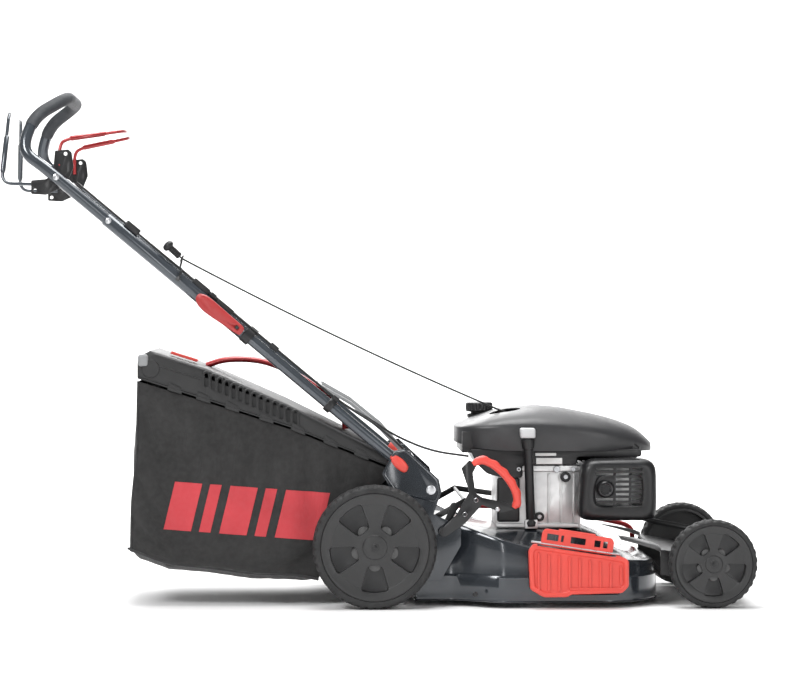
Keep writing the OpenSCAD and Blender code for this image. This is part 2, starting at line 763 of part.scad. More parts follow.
module height_lever() {
  crank_pin = [lever_pivot[0] + link_dx, lever_pivot[1] + link_dz];
  color("dimgray") {
    flank_plate(side_pts(lever_outline), right, lever_y, lever_t);
    flank_bar(lever_pivot, pin_r, right, link_y + link_t + 1, lever_y + 1);
    flank_bar(lever_pivot, 11, right, bracket_y + bracket_t + joint_gap, lever_y + 1);
    flank_bar(lever_pivot, 11, right, 214, 219);
    flank_plate(strip(lever_pivot, crank_pin, 16), right, 214, 5);
    flank_bar(crank_pin, 9, right, 214, 219);
    flank_bar(crank_pin, pin_r, right, link_y - 2, 215);
  }
  color("silver") for (p = [[229, 244], [204, 212]]) {
    flank_bar(side_pt(p), 4, right, lever_y + lever_t - 0.5, lever_y + lever_t + 3);
  }
}

module height_grip() {
  y = -lever_y - lever_t / 2;
  path = [for (p = grip_path) [rear_x + p[0], y, p[1]]];
  color("tomato") difference() {
    sweep(rounded_path(path, 14, 3), 10.5, 12);
    flank_plate(side_pts(lever_outline), right, lever_y, lever_t);
  }
}

// ---- Wheels ----

// Lathe profile turned about a wheel's axis: [radius, distance outwards from the inner face].
module wheel_lathe(centre, side, profile) {
  translate([centre[0], side * wheel_in, centre[1]]) rotate([-90 * side, 0, 0]) rotate_extrude($fn = 96)
    polygon(profile);
}

module tyre(centre, side, r) {
  bead = r - 24;
  shoulder = 7;
  profile = [[bead, 1], [r - 9, 0], [r - 3, shoulder], [r, shoulder + 6], [r, wheel_w - shoulder - 6],
             [r - 3, wheel_w - shoulder], [r - 9, wheel_w], [bead, wheel_w - 1]];
  color("dimgray") wheel_lathe(centre, side, profile);
}

// Rim with five closed pockets on its outer face and, on a driven wheel, a ring gear inside.
module rim(centre, side, r, driven) {
  outer = r - 24.2;
  hub = 19;
  dish = wheel_w - 20;
  face = wheel_w - 5;
  barrel = outer - 6;
  pocket_in = r * 0.33;
  pocket_out = r * 0.735;
  pocket_half_a = 22;
  gap = 6;
  profile = [[stub_r + run_gap, 2], [hub, 2], [hub, dish], [barrel, dish], [barrel, 2], [outer, 2],
             [outer, wheel_w - 2], [outer - 5, wheel_w - 2], [outer - 9, face], [stub_r + run_gap, face]];
  color("dimgray") difference() {
    wheel_lathe(centre, side, profile);
    for (i = [0:4]) {
      flank_extrude(centre, side, wheel_in + dish + 4, 20) rotate(-90 + 72 * i) polygon([
        [pocket_in, -pocket_in * sin(pocket_half_a - gap)], [pocket_out - 5, -pocket_out * sin(pocket_half_a)],
        [pocket_out, 0], [pocket_out - 5, pocket_out * sin(pocket_half_a)],
        [pocket_in, pocket_in * sin(pocket_half_a - gap)]]);
    }
  }
  if (driven) {
    ring_out = ring_pitch_r + 8;
    color("dimgray") {
      flank_extrude(centre, side, gear_y, gear_w) difference() {
        circle(r = ring_out);
        rotate(mesh_angle)
          polygon(gear_outline(ring_teeth, ring_pitch_r - 1.7, ring_pitch_r + 2.3, 0.38, 0.2));
      }
      flank_extrude(centre, side, gear_y + gear_w, dish - (gear_y - wheel_in) - gear_w + 1) difference() {
        circle(r = ring_out);
        circle(r = ring_out - 4);
      }
    }
  }
}

rear_axle = [rear_x, rear_wheel_r];
front_axle = [front_x, front_wheel_r];
module rear_tyre_right() { tyre(rear_axle, right, rear_wheel_r); }
module rear_tyre_left() { tyre(rear_axle, left, rear_wheel_r); }
module front_tyre_right() { tyre(front_axle, right, front_wheel_r); }
module front_tyre_left() { tyre(front_axle, left, front_wheel_r); }
module rear_rim_right() { rim(rear_axle, right, rear_wheel_r, true); }
module rear_rim_left() { rim(rear_axle, left, rear_wheel_r, true); }
module front_rim_right() { rim(front_axle, right, front_wheel_r, false); }
module front_rim_left() { rim(front_axle, left, front_wheel_r, false); }

// ---- Handle ----

module lower_tubes() {
  bore_r = lower_tube_r - 1.5;
  color("slategray") for (s = sides) {
    difference() {
      union() {
        on_tube(0, s) cylinder(h = lower_tube_end, r = lower_tube_r);
        flank_bar(fold_pivot, 15, s, tube_y - 10, tube_y + 10);
      }
      on_tube(30, s) cylinder(h = lower_tube_end, r = bore_r);
      bar_y(fold_pivot, 4, -240, 240);
    }
    color("dimgray") on_tube(296, s) difference() {
      cylinder(h = 16, r = lower_tube_r + 4);
      translate([0, 0, -eps]) cylinder(h = 18, r = lower_tube_r);
    }
  }
}

// Red spring catches that slide along the lower tubes and hold them in the brackets.
module tube_latches() {
  color("tomato") for (s = sides) on_tube(64, s) difference() {
    union() {
      translate([0, 0, 6]) cylinder(h = 46, r = lower_tube_r + 3.5);
      translate([0, s * 6, 29]) cube([26, 22, 50], center = true);
    }
    translate([0, 0, -eps]) cylinder(h = 70, r = lower_tube_r + run_gap * 2);
  }
}

// Half of the loop: up the tube line, round the back and forward to the cross grip.
function loop_half(side) = [
  tube3(905, 0, side * tube_y), tube3(1130, 0, side * tube_y),
  [rear_x + loop_corner[0][0], side * 205, loop_corner[0][1]],
  [rear_x + loop_corner[1][0], side * 172, loop_corner[1][1]],
  [rear_x + loop_corner[2][0], side * 122, loop_corner[2][1]]];
function reversed(list) = [for (i = [len(list) - 1:-1:0]) list[i]];
loop_path = rounded_path(concat(loop_half(right), reversed(loop_half(left))), 34, 4);

clamp_pin = tube_pt(572, 1);
clamp_pin_r = 2.9;
clamp_in = sleeve_r + 2.5;  // from the tube's axis to a clamp lever's inner face
clamp_t = 13;
bail_pin_r = 4;

// Loop of tube on two sleeves that slide on the lower tubes.
module upper_handle() {
  loop_in = 905;
  color("slategray") {
    sweep(loop_path, loop_r, 12);
    for (s = sides) on_tube(sleeve_start, s) difference() {
      cylinder(h = sleeve_end - sleeve_start, r = sleeve_r);
      translate([0, 0, -eps]) cylinder(h = loop_in - sleeve_start - 4, r = lower_tube_r + run_gap * 2);
      translate([0, 0, loop_in - sleeve_start - 6]) cylinder(h = 80, r = loop_r - 1.2);
    }
  }
  color("silver") for (s = sides) {
    for (t = [948, bail_bolt_t]) flank_bar(tube_pt(t, 0), 7, s, tube_y + loop_r - 3, tube_y + sleeve_r + 4);
    flank_bar(bail_pivot, bail_pin_r, s, brake_plate_y - 3, tube_y - loop_r + 3);
    flank_bar(bail_pivot, 7, s, brake_plate_y - joint_gap - 3, brake_plate_y - joint_gap);
    flank_bar(clamp_pin, clamp_pin_r, s, tube_y + sleeve_r - 2, tube_y + clamp_in + clamp_t + 1);
    flank_bar(clamp_pin, 5, s, tube_y + clamp_in + clamp_t + joint_gap, tube_y + clamp_in + clamp_t + 3);
  }
}

// Textured sleeve along the cross bar and down both arms of the loop.
module handle_grip() {
  grip_half = function(side) [
    [rear_x + loop_corner[1][0] + 12, side * 164, loop_corner[1][1] + 8],
    [rear_x + loop_corner[2][0], side * 122, loop_corner[2][1]]];
  path = rounded_path(concat(grip_half(right), reversed(grip_half(left))), 34, 4);
  color("gray") difference() {
    sweep(path, loop_r + 2.5, 12);
    sweep(loop_path, loop_r, 12);
  }
}

module cable_clips() {
  color("dimgray") {
    on_tube(880, right) translate([sleeve_r - 1, -9, 0]) cube([12, 18, 34]);
    on_tube(672, right) translate([sleeve_r - 1, -4, 0]) cube([14, 8, 46]);
    on_tube(600, right) translate([sleeve_r - 1, -4, 0]) cube([14, 8, 46]);
  }
}

module rope_guide() {
  foot = tube3(744, 0, -tube_y - sleeve_r - 4);
  turn = [rope_eye[0] - 4, rope_eye[1] - 14, rope_eye[2] - 22];
  color("gray") {
    flank_bar(tube_pt(744, 0), 5, right, tube_y + sleeve_r - 2, tube_y + sleeve_r + 8);
    sweep(rounded_path([foot, foot + [10, -2, 22], turn, rope_eye - [0, 6.5, 4]], 8, 3), 2.5, 8);
    translate(rope_eye) rotate([0, 115, 0]) rotate_extrude($fn = 32) translate([6.5, 0]) circle(r = 2, $fn = 16);
  }
}

// Cam lever beside a sleeve: it locks the sleeve to the lower tube.
module clamp_lever(side) {
  length = 128;
  start = 556;
  color("tomato") difference() {
    on_tube(start, side) translate([0, side > 0 ? clamp_in : -clamp_in - clamp_t, 0]) rotate([-90, 0, 0])
      linear_extrude(clamp_t) polygon([
        [10, 0], [-9, 0], [-12, -24], [-15, -60], [-17, -96], [-15, -120], [-7, -length], [5, -length],
        [11, -118], [12, -60], [11, -20]]);
    bar_y(clamp_pin, clamp_pin_r + run_gap, -250, 250);
  }
}

module clamp_right() { clamp_lever(right); }
module clamp_left() { clamp_lever(left); }

bail_r = 4;
plate_t = 2.5;
drive_plate_y = 194.5;
brake_plate_y = 190.5;

// A bail's rod: from one end plate up to the cross bar and down to the other.
module bail_rod(half) {
  one = [for (p = half) [rear_x + p[0], -p[1], p[2]]];
  two = [for (p = reversed(half)) [rear_x + p[0], p[1], p[2]]];
  sweep(rounded_path(concat(one, two), 22, 4), bail_r, 10);
}

// Black end plates, one on each side, that turn about the bolts through the handle.
module bail_plates(outline, y) {
  for (s = sides) difference() {
    flank_plate(side_pts(outline), s, y, plate_t);
    bar_y(bail_pivot, bail_pin_r + run_gap, -240, 240);
  }
}

module brake_bail() {
  y = brake_plate_y - bail_r + 2;
  color("dimgray") bail_plates([[-776, 967], [-776, 936], [-742, 934], [-704, 952], [-701, 978], [-724, 984],
                                [-742, 970]], brake_plate_y);
  color("gray") bail_rod([[-752, y, 958], [-843, y, 960], [-833, 122, 1126]]);
}

module drive_bail() {
  y = drive_plate_y - bail_r - plate_t;
  color("dimgray") bail_plates([[-722, 1034], [-692, 1037], [-684, 1030], [-680, 996], [-694, 962], [-724, 958],
                                [-727, 980]], drive_plate_y);
  half = [[-712, drive_plate_y - 1, 1000], [-712, y, 1050], [-694, 178, 1062], [-570, 122, 1084]];
  color("firebrick") bail_rod(half);
}

module starter_grip() {
  d = unit([-30, -4, 28]);
  foot = rope_eye + d * 6;
  color("dimgray") {
    rod(foot, foot + d * 34, 8);
    rod(foot + d * 32, foot + d * 38, 13);
    rod(foot + d * 36, foot + d * 46, 10);
  }
}

// ---- Cords that the mower holds along their whole length ----

cable_r = 2.6;
tube_run_y = -tube_y + 7;

module starter_rope() {
  sag = 10;
  count = 8;
  path = [for (i = [0:count])
    let (k = i / count) rope_hole * (1 - k) + rope_eye * k - [0, 0, 4 * sag * k * (1 - k)]];
  color("dimgray") sweep(path, 1.8, 8);
}

module brake_cable() {
  path = [tube3(1060, 20, tube_run_y + 4), tube3(640, 20, tube_run_y + 4), tube3(280, 20, tube_run_y + 4),
          [rear_x - 10, tube_run_y + 16, 426], [rear_x + 45, tube_run_y + 28, 388], [rear_x + 130, -166, 351],
          [rear_x + 218, -150, 338]];
  color("black") sweep(rounded_path(path, 40, 4), cable_r, 8);
}

module drive_cable() {
  path = [tube3(1050, 20, tube_run_y - 4), tube3(640, 20, tube_run_y - 4), tube3(280, 20, tube_run_y - 4),
          [rear_x + 10, tube_run_y, 410], [rear_x + 76, -196, 350], [rear_x + 110, -182, 300],
          [rear_x + 82, -176, 200], [rear_x + 80, -168, 140], [rear_x + 76, -110, 118],
          [rear_x + 72, -39.5, 118]];
  color("black") sweep(rounded_path(path, 40, 4), cable_r, 8);
}

// ---- Flaps and catcher ----

module side_flap() {
  depth = 16;
  rib_count = 12;
  color("tomato") difference() {
    union() {
      flank_plate(side_pts(flap_outline), right, flap_y - depth, depth);
      on_flap_hinge() for (x = [2, 196]) translate([x, 0, 0]) rotate([0, 90, 0]) cylinder(h = 7, r = 6);
    }
    flank_plate(side_pts([[352, 128], [564, 97], [564, 56], [552, 42], [440, 40], [380, 34], [356, 48]]), right,
                flap_y - depth - eps, depth - 3);
    on_flap_hinge() rotate([0, 90, 0]) cylinder(h = 500, r = hinge_rod_r + run_gap, center = true);
    on_flap_hinge() box([14, -30, -6], [194, 8, 20]);
  }
}

door_hinge = [rear_x + 74, 342];
door_pin_r = 4;

// Closes the chute when the catcher is off; with the catcher on it leans back over the lid.
module rear_door() {
  half_w = 150;
  panel = [[76, 345], [22, 402], [-50, 462], [-127, 506], [-130, 501], [-54, 456], [15, 397], [69, 339]];
  color("silver") {
    side_plate(side_pts(panel), -half_w, half_w * 2);
    bar_y(door_hinge, door_pin_r, -half_w - 7, half_w + 7);
  }
}

indicator_pin = [rear_x - 405, 557];
indicator_y = [-120, -76];

module catcher_lid() {
  louvre_count = 14;
  roof = [[-538, 554], [-534, 568], [-508, 583], [-380, 542], [-200, 462], [61, 332], [61, 318], [40, 316],
          [-190, 408], [-380, 470], [-538, 520]];
  under = [[-535, 554], [-531, 565], [-507, 579], [-380, 538.5], [-200, 458.5], [57, 330], [57, 300],
           [-190, 390], [-380, 450], [-535, 500]];
  color("dimgray") difference() {
    side_plate(side_pts(roof), -bag_half_w - 1, bag_half_w * 2 + 2);
    side_plate(side_pts(under), -bag_half_w + 2, bag_half_w * 2 - 4);
    for (i = [0:louvre_count - 1]) {
      translate([rear_x - 384 + i * 15.5, -bag_half_w - 3, 508 - i * 7]) cube([6, bag_half_w * 2 + 6, 20]);
    }
  }
  color("dimgray") for (y = [indicator_y[0] - 4, indicator_y[1] + 1]) difference() {
    union() {
      bar_y(indicator_pin, 4, y, y + 3);
      box([indicator_pin[0] - 4, y, 546], [indicator_pin[0] + 4, y + 3, indicator_pin[1]]);
    }
    bar_y(indicator_pin, 2 + run_gap, y - eps, y + 4);
  }
}

// Fabric bag with its wire frame: open towards the chute and at the top, under the lid.
module catcher_bag() {
  w = bag_wall;
  rim_line = [[52, 310], [36, 311], [-190, 402], [-380, 464], [-536, 512]];
  hollow = [[-531, 600], [-535, 340], [-546, 238], [-547, 134], [-464, 101], [-380, 93], [-282, 79], [-180, 76],
            [-129, 66], [-104, 140], [80, 330]];
  outline = concat([for (i = [2:len(bag_outline) - 1]) bag_outline[i]], rim_line, [bag_outline[1]]);
  color("dimgray") difference() {
    side_plate(side_pts(outline), -bag_half_w + 3.5, bag_half_w * 2 - 7);
    side_plate(side_pts(hollow), -bag_half_w + 3.5 + w, (bag_half_w - 3.5 - w) * 2);
  }
}

module catcher_handle() {
  path = [[rear_x - 388, 0, 544], [rear_x - 340, 0, 560], [rear_x - 250, 0, 556], [rear_x - 150, 0, 508],
          [rear_x - 66, 0, 432], [rear_x - 62, 0, 394]];
  color("firebrick") sweep(rounded_path(path, 40, 4), 8, 12);
}

module fill_indicator() {
  leaf = [[-466, 573], [-406, 554], [-404, 560], [-464, 579]];
  color("tomato") {
    side_plate(side_pts(leaf), indicator_y[0], indicator_y[1] - indicator_y[0]);
    bar_y(indicator_pin, 2, indicator_y[0] - 4.5, indicator_y[1] + 4.5);
  }
}

deck();
front_housing();
handle_brackets();
side_rail();
rear_chute();
flap_bracket();
fasteners();
engine_block();
engine_cover();
fuel_tank();
muffler();
muffler_guard();
intake();
spark_plug();
dipstick_tube();
gearbox();
drive_belt();
crankshaft();
flywheel();
blade_hub();
blade();
gearbox_pulley();
rear_carrier();
height_lever();
height_grip();
front_carrier();
link_rod();
driveshaft();
drive_pinion_right();
drive_pinion_left();
rear_tyre_right();
rear_rim_right();
rear_tyre_left();
rear_rim_left();
front_tyre_right();
front_rim_right();
front_tyre_left();
front_rim_left();
lower_tubes();
tube_latches();
upper_handle();
handle_grip();
cable_clips();
rope_guide();
clamp_right();
clamp_left();
brake_bail();
drive_bail();
starter_grip();
starter_rope();
brake_cable();
drive_cable();
side_flap();
rear_door();
catcher_lid();
catcher_bag();
catcher_handle();
fill_indicator();
fuel_cap();
dipstick();
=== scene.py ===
"""Walk-behind lawn mower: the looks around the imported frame.

Lengths in the mower's own space are millimetres ahead of the rear axle, to the left of the centre
plane and above the ground, and at() turns them into Blender's metres.
"""

import math

import bmesh
import bpy
from mathutils import Matrix, Vector


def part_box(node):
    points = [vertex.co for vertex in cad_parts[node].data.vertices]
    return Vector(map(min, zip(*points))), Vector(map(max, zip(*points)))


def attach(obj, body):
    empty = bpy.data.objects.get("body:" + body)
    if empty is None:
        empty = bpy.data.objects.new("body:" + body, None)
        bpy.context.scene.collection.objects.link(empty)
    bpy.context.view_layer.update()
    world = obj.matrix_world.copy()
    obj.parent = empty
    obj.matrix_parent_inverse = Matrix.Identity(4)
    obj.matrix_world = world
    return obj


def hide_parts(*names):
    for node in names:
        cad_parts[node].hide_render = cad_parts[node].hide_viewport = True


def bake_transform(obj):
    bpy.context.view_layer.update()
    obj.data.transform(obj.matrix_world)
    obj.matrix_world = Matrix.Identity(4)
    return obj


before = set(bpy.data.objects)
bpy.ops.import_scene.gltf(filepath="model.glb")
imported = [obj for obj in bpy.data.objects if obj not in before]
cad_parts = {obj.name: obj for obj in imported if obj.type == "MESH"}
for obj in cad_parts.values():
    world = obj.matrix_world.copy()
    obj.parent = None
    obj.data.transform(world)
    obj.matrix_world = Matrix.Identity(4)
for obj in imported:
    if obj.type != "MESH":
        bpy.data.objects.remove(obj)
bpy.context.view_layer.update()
MM = 0.001
SIDES = {"right": -1, "left": 1}


def box_centre(node):
    low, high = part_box(node)
    return [(low[i] + high[i]) / 2 for i in range(3)]


AXLE_X = box_centre("rear_tyre_right")[0]
REAR_Z = box_centre("rear_tyre_right")[2] / MM
FRONT_Z = box_centre("front_tyre_right")[2] / MM
WHEEL_W = (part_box("rear_tyre_right")[1][1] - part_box("rear_tyre_right")[0][1]) / MM


def at(x, y, z):
    """A point given in millimetres from the rear axle's foot."""
    return Vector((AXLE_X + x * MM, y * MM, z * MM))


# ---------------------------------------------------------------- camera, light and floor

def look_along(yaw, pitch):
    """Rotation of a camera that looks along +Y, turned to +X by yaw and down by pitch, in degrees."""
    return Matrix.Rotation(math.radians(-yaw), 4, "Z") @ Matrix.Rotation(math.radians(90 - pitch), 4, "X")


CAMERA_PLACE = (-150.1, -6145, 684.9)
CAMERA_YAW, CAMERA_PITCH = 1.86, 0.985


def make_camera():
    """A long lens from the right-hand side, as in the photograph."""
    data = bpy.data.cameras.new("camera")
    data.sensor_width = 36
    data.lens = 119.9
    data.clip_end = 100
    camera = bpy.data.objects.new("camera", data)
    turned = look_along(CAMERA_YAW, CAMERA_PITCH)
    camera.matrix_world = Matrix.Translation(at(*CAMERA_PLACE)) @ turned
    bpy.context.scene.collection.objects.link(camera)
    bpy.context.scene.camera = camera


def area_light(name, place, target, size, power, size_y=None):
    data = bpy.data.lights.new(name, "AREA")
    data.energy = power
    data.size = size
    if size_y:
        data.shape = "RECTANGLE"
        data.size_y = size_y
    light = bpy.data.objects.new(name, data)
    light.location = place
    light.rotation_euler = (Vector(target) - Vector(place)).to_track_quat("-Z", "Y").to_euler()
    bpy.context.scene.collection.objects.link(light)


def make_light():
    area_light("key", (-1.9, -2.3, 2.6), (0, 0, 0.35), 1.1, 62)
    area_light("front_strip", (1.9, -3.0, 1.2), (0.35, 0, 0.25), 0.5, 24, 2.2)
    area_light("rear_strip", (-0.6, -3.6, 0.9), (0.1, 0, 0.2), 0.35, 12, 1.6)
    area_light("top", (0, -0.2, 3.2), (0, 0, 0), 1.6, 80)
    area_light("left", (-0.4, 3.2, 2.6), (0, 0, 0.4), 2.0, 60)
    area_light("wash", (0, 5.0, 5.5), (0, 9.5, 1.2), 7.0, 620)
    area_light("floor_wash", (0, 3.5, 6.0), (0, 4.5, 0), 6.0, 260)
    world = bpy.data.worlds.new("studio")
    world.use_nodes = True
    back = world.node_tree.nodes["Background"]
    back.inputs["Color"].default_value = (1, 1, 1, 1)
    back.inputs["Strength"].default_value = 0.26
    bpy.context.scene.world = world
    bpy.context.scene.view_settings.view_transform = "Standard"


# ---------------------------------------------------------------- materials

def link(tree, out, into):
    tree.links.new(out, into)


def node(tree, kind, **inputs):
    made = tree.nodes.new(kind)
    for name, value in inputs.items():
        made.inputs[name.replace("_", " ")].default_value = value
    return made


def base_material(name, metallic=0.0, roughness=0.5, coat=0.0, coat_roughness=0.1, sheen=0.0, ior=1.5):
    material = bpy.data.materials.new(name)
    material.use_nodes = True
    shader = material.node_tree.nodes["Principled BSDF"]
    shader.inputs["Metallic"].default_value = metallic
    shader.inputs["Roughness"].default_value = roughness
    shader.inputs["Coat Weight"].default_value = coat
    shader.inputs["Coat Roughness"].default_value = coat_roughness
    shader.inputs["Sheen Weight"].default_value = sheen
    shader.inputs["IOR"].default_value = ior
    return material, material.node_tree, shader


def noise(tree, scale, detail=4.0, stretch=(1, 1, 1)):
    """Noise over the object's own coordinates, in features per metre."""
    place = tree.nodes.new("ShaderNodeTexCoord")
    mapping = tree.nodes.new("ShaderNodeMapping")
    mapping.inputs["Scale"].default_value = stretch
    link(tree, place.outputs["Object"], mapping.inputs["Vector"])
    made = node(tree, "ShaderNodeTexNoise", Scale=scale, Detail=detail)
    link(tree, mapping.outputs["Vector"], made.inputs["Vector"])
    return made.outputs["Fac"]


def ramp(tree, value, stops):
    made = tree.nodes.new("ShaderNodeValToRGB")
    while len(made.color_ramp.elements) < len(stops):
        made.color_ramp.elements.new(0.5)
    for element, (place, color) in zip(made.color_ramp.elements, stops):
        element.position = place
        element.color = (*color, 1) if len(color) == 3 else color
    link(tree, value, made.inputs["Fac"])
    return made.outputs["Color"]


def grey(value):
    return (value, value, value)


def bump(tree, shader, height, strength, distance):
    made = node(tree, "ShaderNodeBump", Strength=strength, Distance=distance)
    link(tree, height, made.inputs["Height"])
    link(tree, made.outputs["Normal"], shader.inputs["Normal"])
    return made


def scaled(color, factor):
    return tuple(min(1, c * factor) for c in color)


def vary_color(tree, shader, color, scale, spread, stretch=(1, 1, 1)):
    """Base colour that drifts a little either way over the surface."""
    source = noise(tree, scale, 5, stretch)
    low, high = scaled(color, 1 - spread), scaled(color, 1 + spread)
    link(tree, ramp(tree, source, [(0.3, low), (0.7, high)]), shader.inputs["Base Color"])


def vary_roughness(tree, shader, low, high, scale):
    link(tree, ramp(tree, noise(tree, scale, 6), [(0.3, grey(low)), (0.7, grey(high))]),
         shader.inputs["Roughness"])


def painted(name, color, roughness=0.25, coat=0.6):
    """Powder paint: fine orange peel, faint dust and a clear gloss."""
    material, tree, shader = base_material(name, 0.35, roughness, coat, 0.12)
    vary_color(tree, shader, color, 9, 0.16)
    vary_roughness(tree, shader, roughness * 0.8, roughness * 1.35, 22)
    bump(tree, shader, noise(tree, 420, 2), 0.03, 0.0002)
    return material


def moulded(name, color, roughness=0.5, grain=1400, depth=0.25, spread=0.12):
    """Moulded plastic with a fine spark-eroded grain."""
    material, tree, shader = base_material(name, 0.0, roughness)
    vary_color(tree, shader, color, 14, spread)
    vary_roughness(tree, shader, roughness * 0.88, roughness * 1.12, 60)
    bump(tree, shader, noise(tree, grain, 3), depth, 0.0003)
    return material


def rubber(name, color):
    material, tree, shader = base_material(name, 0.0, 0.72)
    vary_color(tree, shader, color, 30, 0.2)
    vary_roughness(tree, shader, 0.62, 0.85, 45)
    bump(tree, shader, noise(tree, 700, 5), 0.35, 0.0005)
    return material


def steel(name, color, roughness=0.3, stretch=(1, 1, 30)):
    """Bright metal with fine drawn lines."""
    material, tree, shader = base_material(name, 1.0, roughness)
    vary_color(tree, shader, color, 40, 0.1, stretch)
    vary_roughness(tree, shader, roughness * 0.7, roughness * 1.4, 60)
    bump(tree, shader, noise(tree, 260, 3, stretch), 0.12, 0.0003)
    return material


def cast_metal(name, color):
    """Cast aluminium: a granular skin with darker stains."""
    material, tree, shader = base_material(name, 1.0, 0.42)
    vary_color(tree, shader, color, 18, 0.18)
    vary_roughness(tree, shader, 0.34, 0.55, 30)
    bump(tree, shader, noise(tree, 950, 4), 0.3, 0.0005)
    return material


def threads(tree, axis, count):
    """Sine of the object's coordinate along an axis, for woven threads: count per metre."""
    place = tree.nodes.new("ShaderNodeTexCoord")
    split = tree.nodes.new("ShaderNodeSeparateXYZ")
    link(tree, place.outputs["Object"], split.inputs["Vector"])
    turn = tree.nodes.new("ShaderNodeMath")
    turn.operation = "MULTIPLY"
    turn.inputs[1].default_value = count * 2 * math.pi
    link(tree, split.outputs[axis], turn.inputs[0])
    wave = tree.nodes.new("ShaderNodeMath")
    wave.operation = "SINE"
    link(tree, turn.outputs[0], wave.inputs[0])
    return wave.outputs[0]


def combine(tree, a, b, operation):
    made = tree.nodes.new("ShaderNodeMath")
    made.operation = operation
    link(tree, a, made.inputs[0])
    link(tree, b, made.inputs[1])
    return made.outputs[0]


def woven(name, color, count=520, spread=0.28):
    """Coarse woven cloth: crossing threads, lint and faded patches."""
    material, tree, shader = base_material(name, 0.0, 0.85, sheen=0.25)
    weave = combine(tree, combine(tree, threads(tree, "X", count), threads(tree, "Z", count), "MULTIPLY"),
                    threads(tree, "Y", count), "ADD")
    vary_color(tree, shader, color, 11, spread)
    vary_roughness(tree, shader, 0.78, 0.95, 80)
    cloth = combine(tree, weave, noise(tree, 1100, 3), "ADD")
    bump(tree, shader, cloth, 0.28, 0.0004)
    return material


def gripped(name, color):
    """Knurled soft sleeve: a fine diamond of ribs."""
    material, tree, shader = base_material(name, 0.0, 0.62)
    lines = combine(tree, threads(tree, "X", 300), threads(tree, "Z", 300), "MULTIPLY")
    vary_color(tree, shader, color, 50, 0.2)
    vary_roughness(tree, shader, 0.52, 0.7, 90)
    bump(tree, shader, combine(tree, lines, threads(tree, "Y", 300), "MULTIPLY"), 0.5, 0.0008)
    return material


def floor_finish(name):
    """Plain pale studio floor."""
    material, tree, shader = base_material(name, 0.0, 0.9)
    vary_color(tree, shader, (0.93, 0.93, 0.93), 2, 0.01)
    return material


def make_materials():
    return {
        "deck_paint": painted("deck_paint", (0.026, 0.031, 0.038), 0.2, 0.8),
        "tube_paint": painted("tube_paint", (0.048, 0.057, 0.068), 0.2, 0.8),
        "black_paint": painted("black_paint", (0.010, 0.010, 0.011), 0.35, 0.3),
        "red_paint": painted("red_paint", (0.30, 0.012, 0.014), 0.25, 0.6),
        "red_plastic": moulded("red_plastic", (0.66, 0.062, 0.045), 0.38, 1100, 0.15, 0.06),
        "cowl_plastic": moulded("cowl_plastic", (0.030, 0.030, 0.032), 0.36, 1500, 0.22),
        "black_plastic": moulded("black_plastic", (0.007, 0.007, 0.008), 0.38),
        "lid_plastic": moulded("lid_plastic", (0.014, 0.014, 0.0145), 0.46, 1200, 0.3),
        "grey_plastic": moulded("grey_plastic", (0.25, 0.255, 0.26), 0.4),
        "wheel_plastic": moulded("wheel_plastic", (0.021, 0.021, 0.0215), 0.42, 1000, 0.3),
        "white_plastic": moulded("white_plastic", (0.62, 0.63, 0.64), 0.35),
        "tyre_rubber": rubber("tyre_rubber", (0.019, 0.019, 0.0195)),
        "belt_rubber": rubber("belt_rubber", (0.018, 0.018, 0.018)),
        "cable_sheath": moulded("cable_sheath", (0.014, 0.014, 0.015), 0.4, 500, 0.1),
        "bright_steel": steel("bright_steel", (0.62, 0.63, 0.65)),
        "cast_aluminium": cast_metal("cast_aluminium", (0.66, 0.66, 0.66)),
        "bag_fabric": woven("bag_fabric", (0.017, 0.0165, 0.0165)),
        "print_red": woven("print_red", (0.50, 0.045, 0.055), 520, 0.10),
        "rope": woven("rope", (0.02, 0.02, 0.02), 900, 0.2),
        "grip_rubber": gripped("grip_rubber", (0.030, 0.033, 0.038)),
        "sticker": moulded("sticker", (0.75, 0.75, 0.74), 0.3, 300, 0.05, 0.03),
        "red_paint_bright": painted("red_paint_bright", (0.34, 0.018, 0.020), 0.3, 0.5),
        "red_dark": moulded("red_dark", (0.36, 0.028, 0.028), 0.36, 900, 0.15, 0.08),
        "trim": moulded("trim", (0.085, 0.085, 0.087), 0.3, 900, 0.15),
        "bag_hem": woven("bag_hem", (0.030, 0.030, 0.031), 700, 0.2),
        "pad_plastic": moulded("pad_plastic", (0.06, 0.06, 0.06), 0.4, 1000, 0.2),
        "floor": floor_finish("floor"),
    }


# ---------------------------------------------------------------- mesh tools

def new_object(name, mesh, material, smooth=True, crease_angle=34):
    if material and not mesh.materials:
        mesh.materials.append(material)
    if smooth:
        shade(mesh, crease_angle)
    made = bpy.data.objects.new(name, mesh)
    bpy.context.scene.collection.objects.link(made)
    return made


def shade(mesh, crease_angle):
    """Smooth shading with edges sharper than crease_angle kept sharp."""
    form = bmesh.new()
    form.from_mesh(mesh)
    limit = math.radians(crease_angle)
    for face in form.faces:
        face.smooth = True
    for edge in form.edges:
        edge.smooth = len(edge.link_faces) == 2 and edge.calc_face_angle(0) < limit
    form.to_mesh(mesh)
    form.free()


def from_lists(name, verts, faces, material, crease_angle=34):
    mesh = bpy.data.meshes.new(name)
    mesh.from_pydata([tuple(v) for v in verts], [], faces)
    form = bmesh.new()
    form.from_mesh(mesh)
    bmesh.ops.remove_doubles(form, verts=form.verts, dist=1e-6)
    bmesh.ops.recalc_face_normals(form, faces=form.faces)
    form.to_mesh(mesh)
    form.free()
    return new_object(name, mesh, material, True, crease_angle)


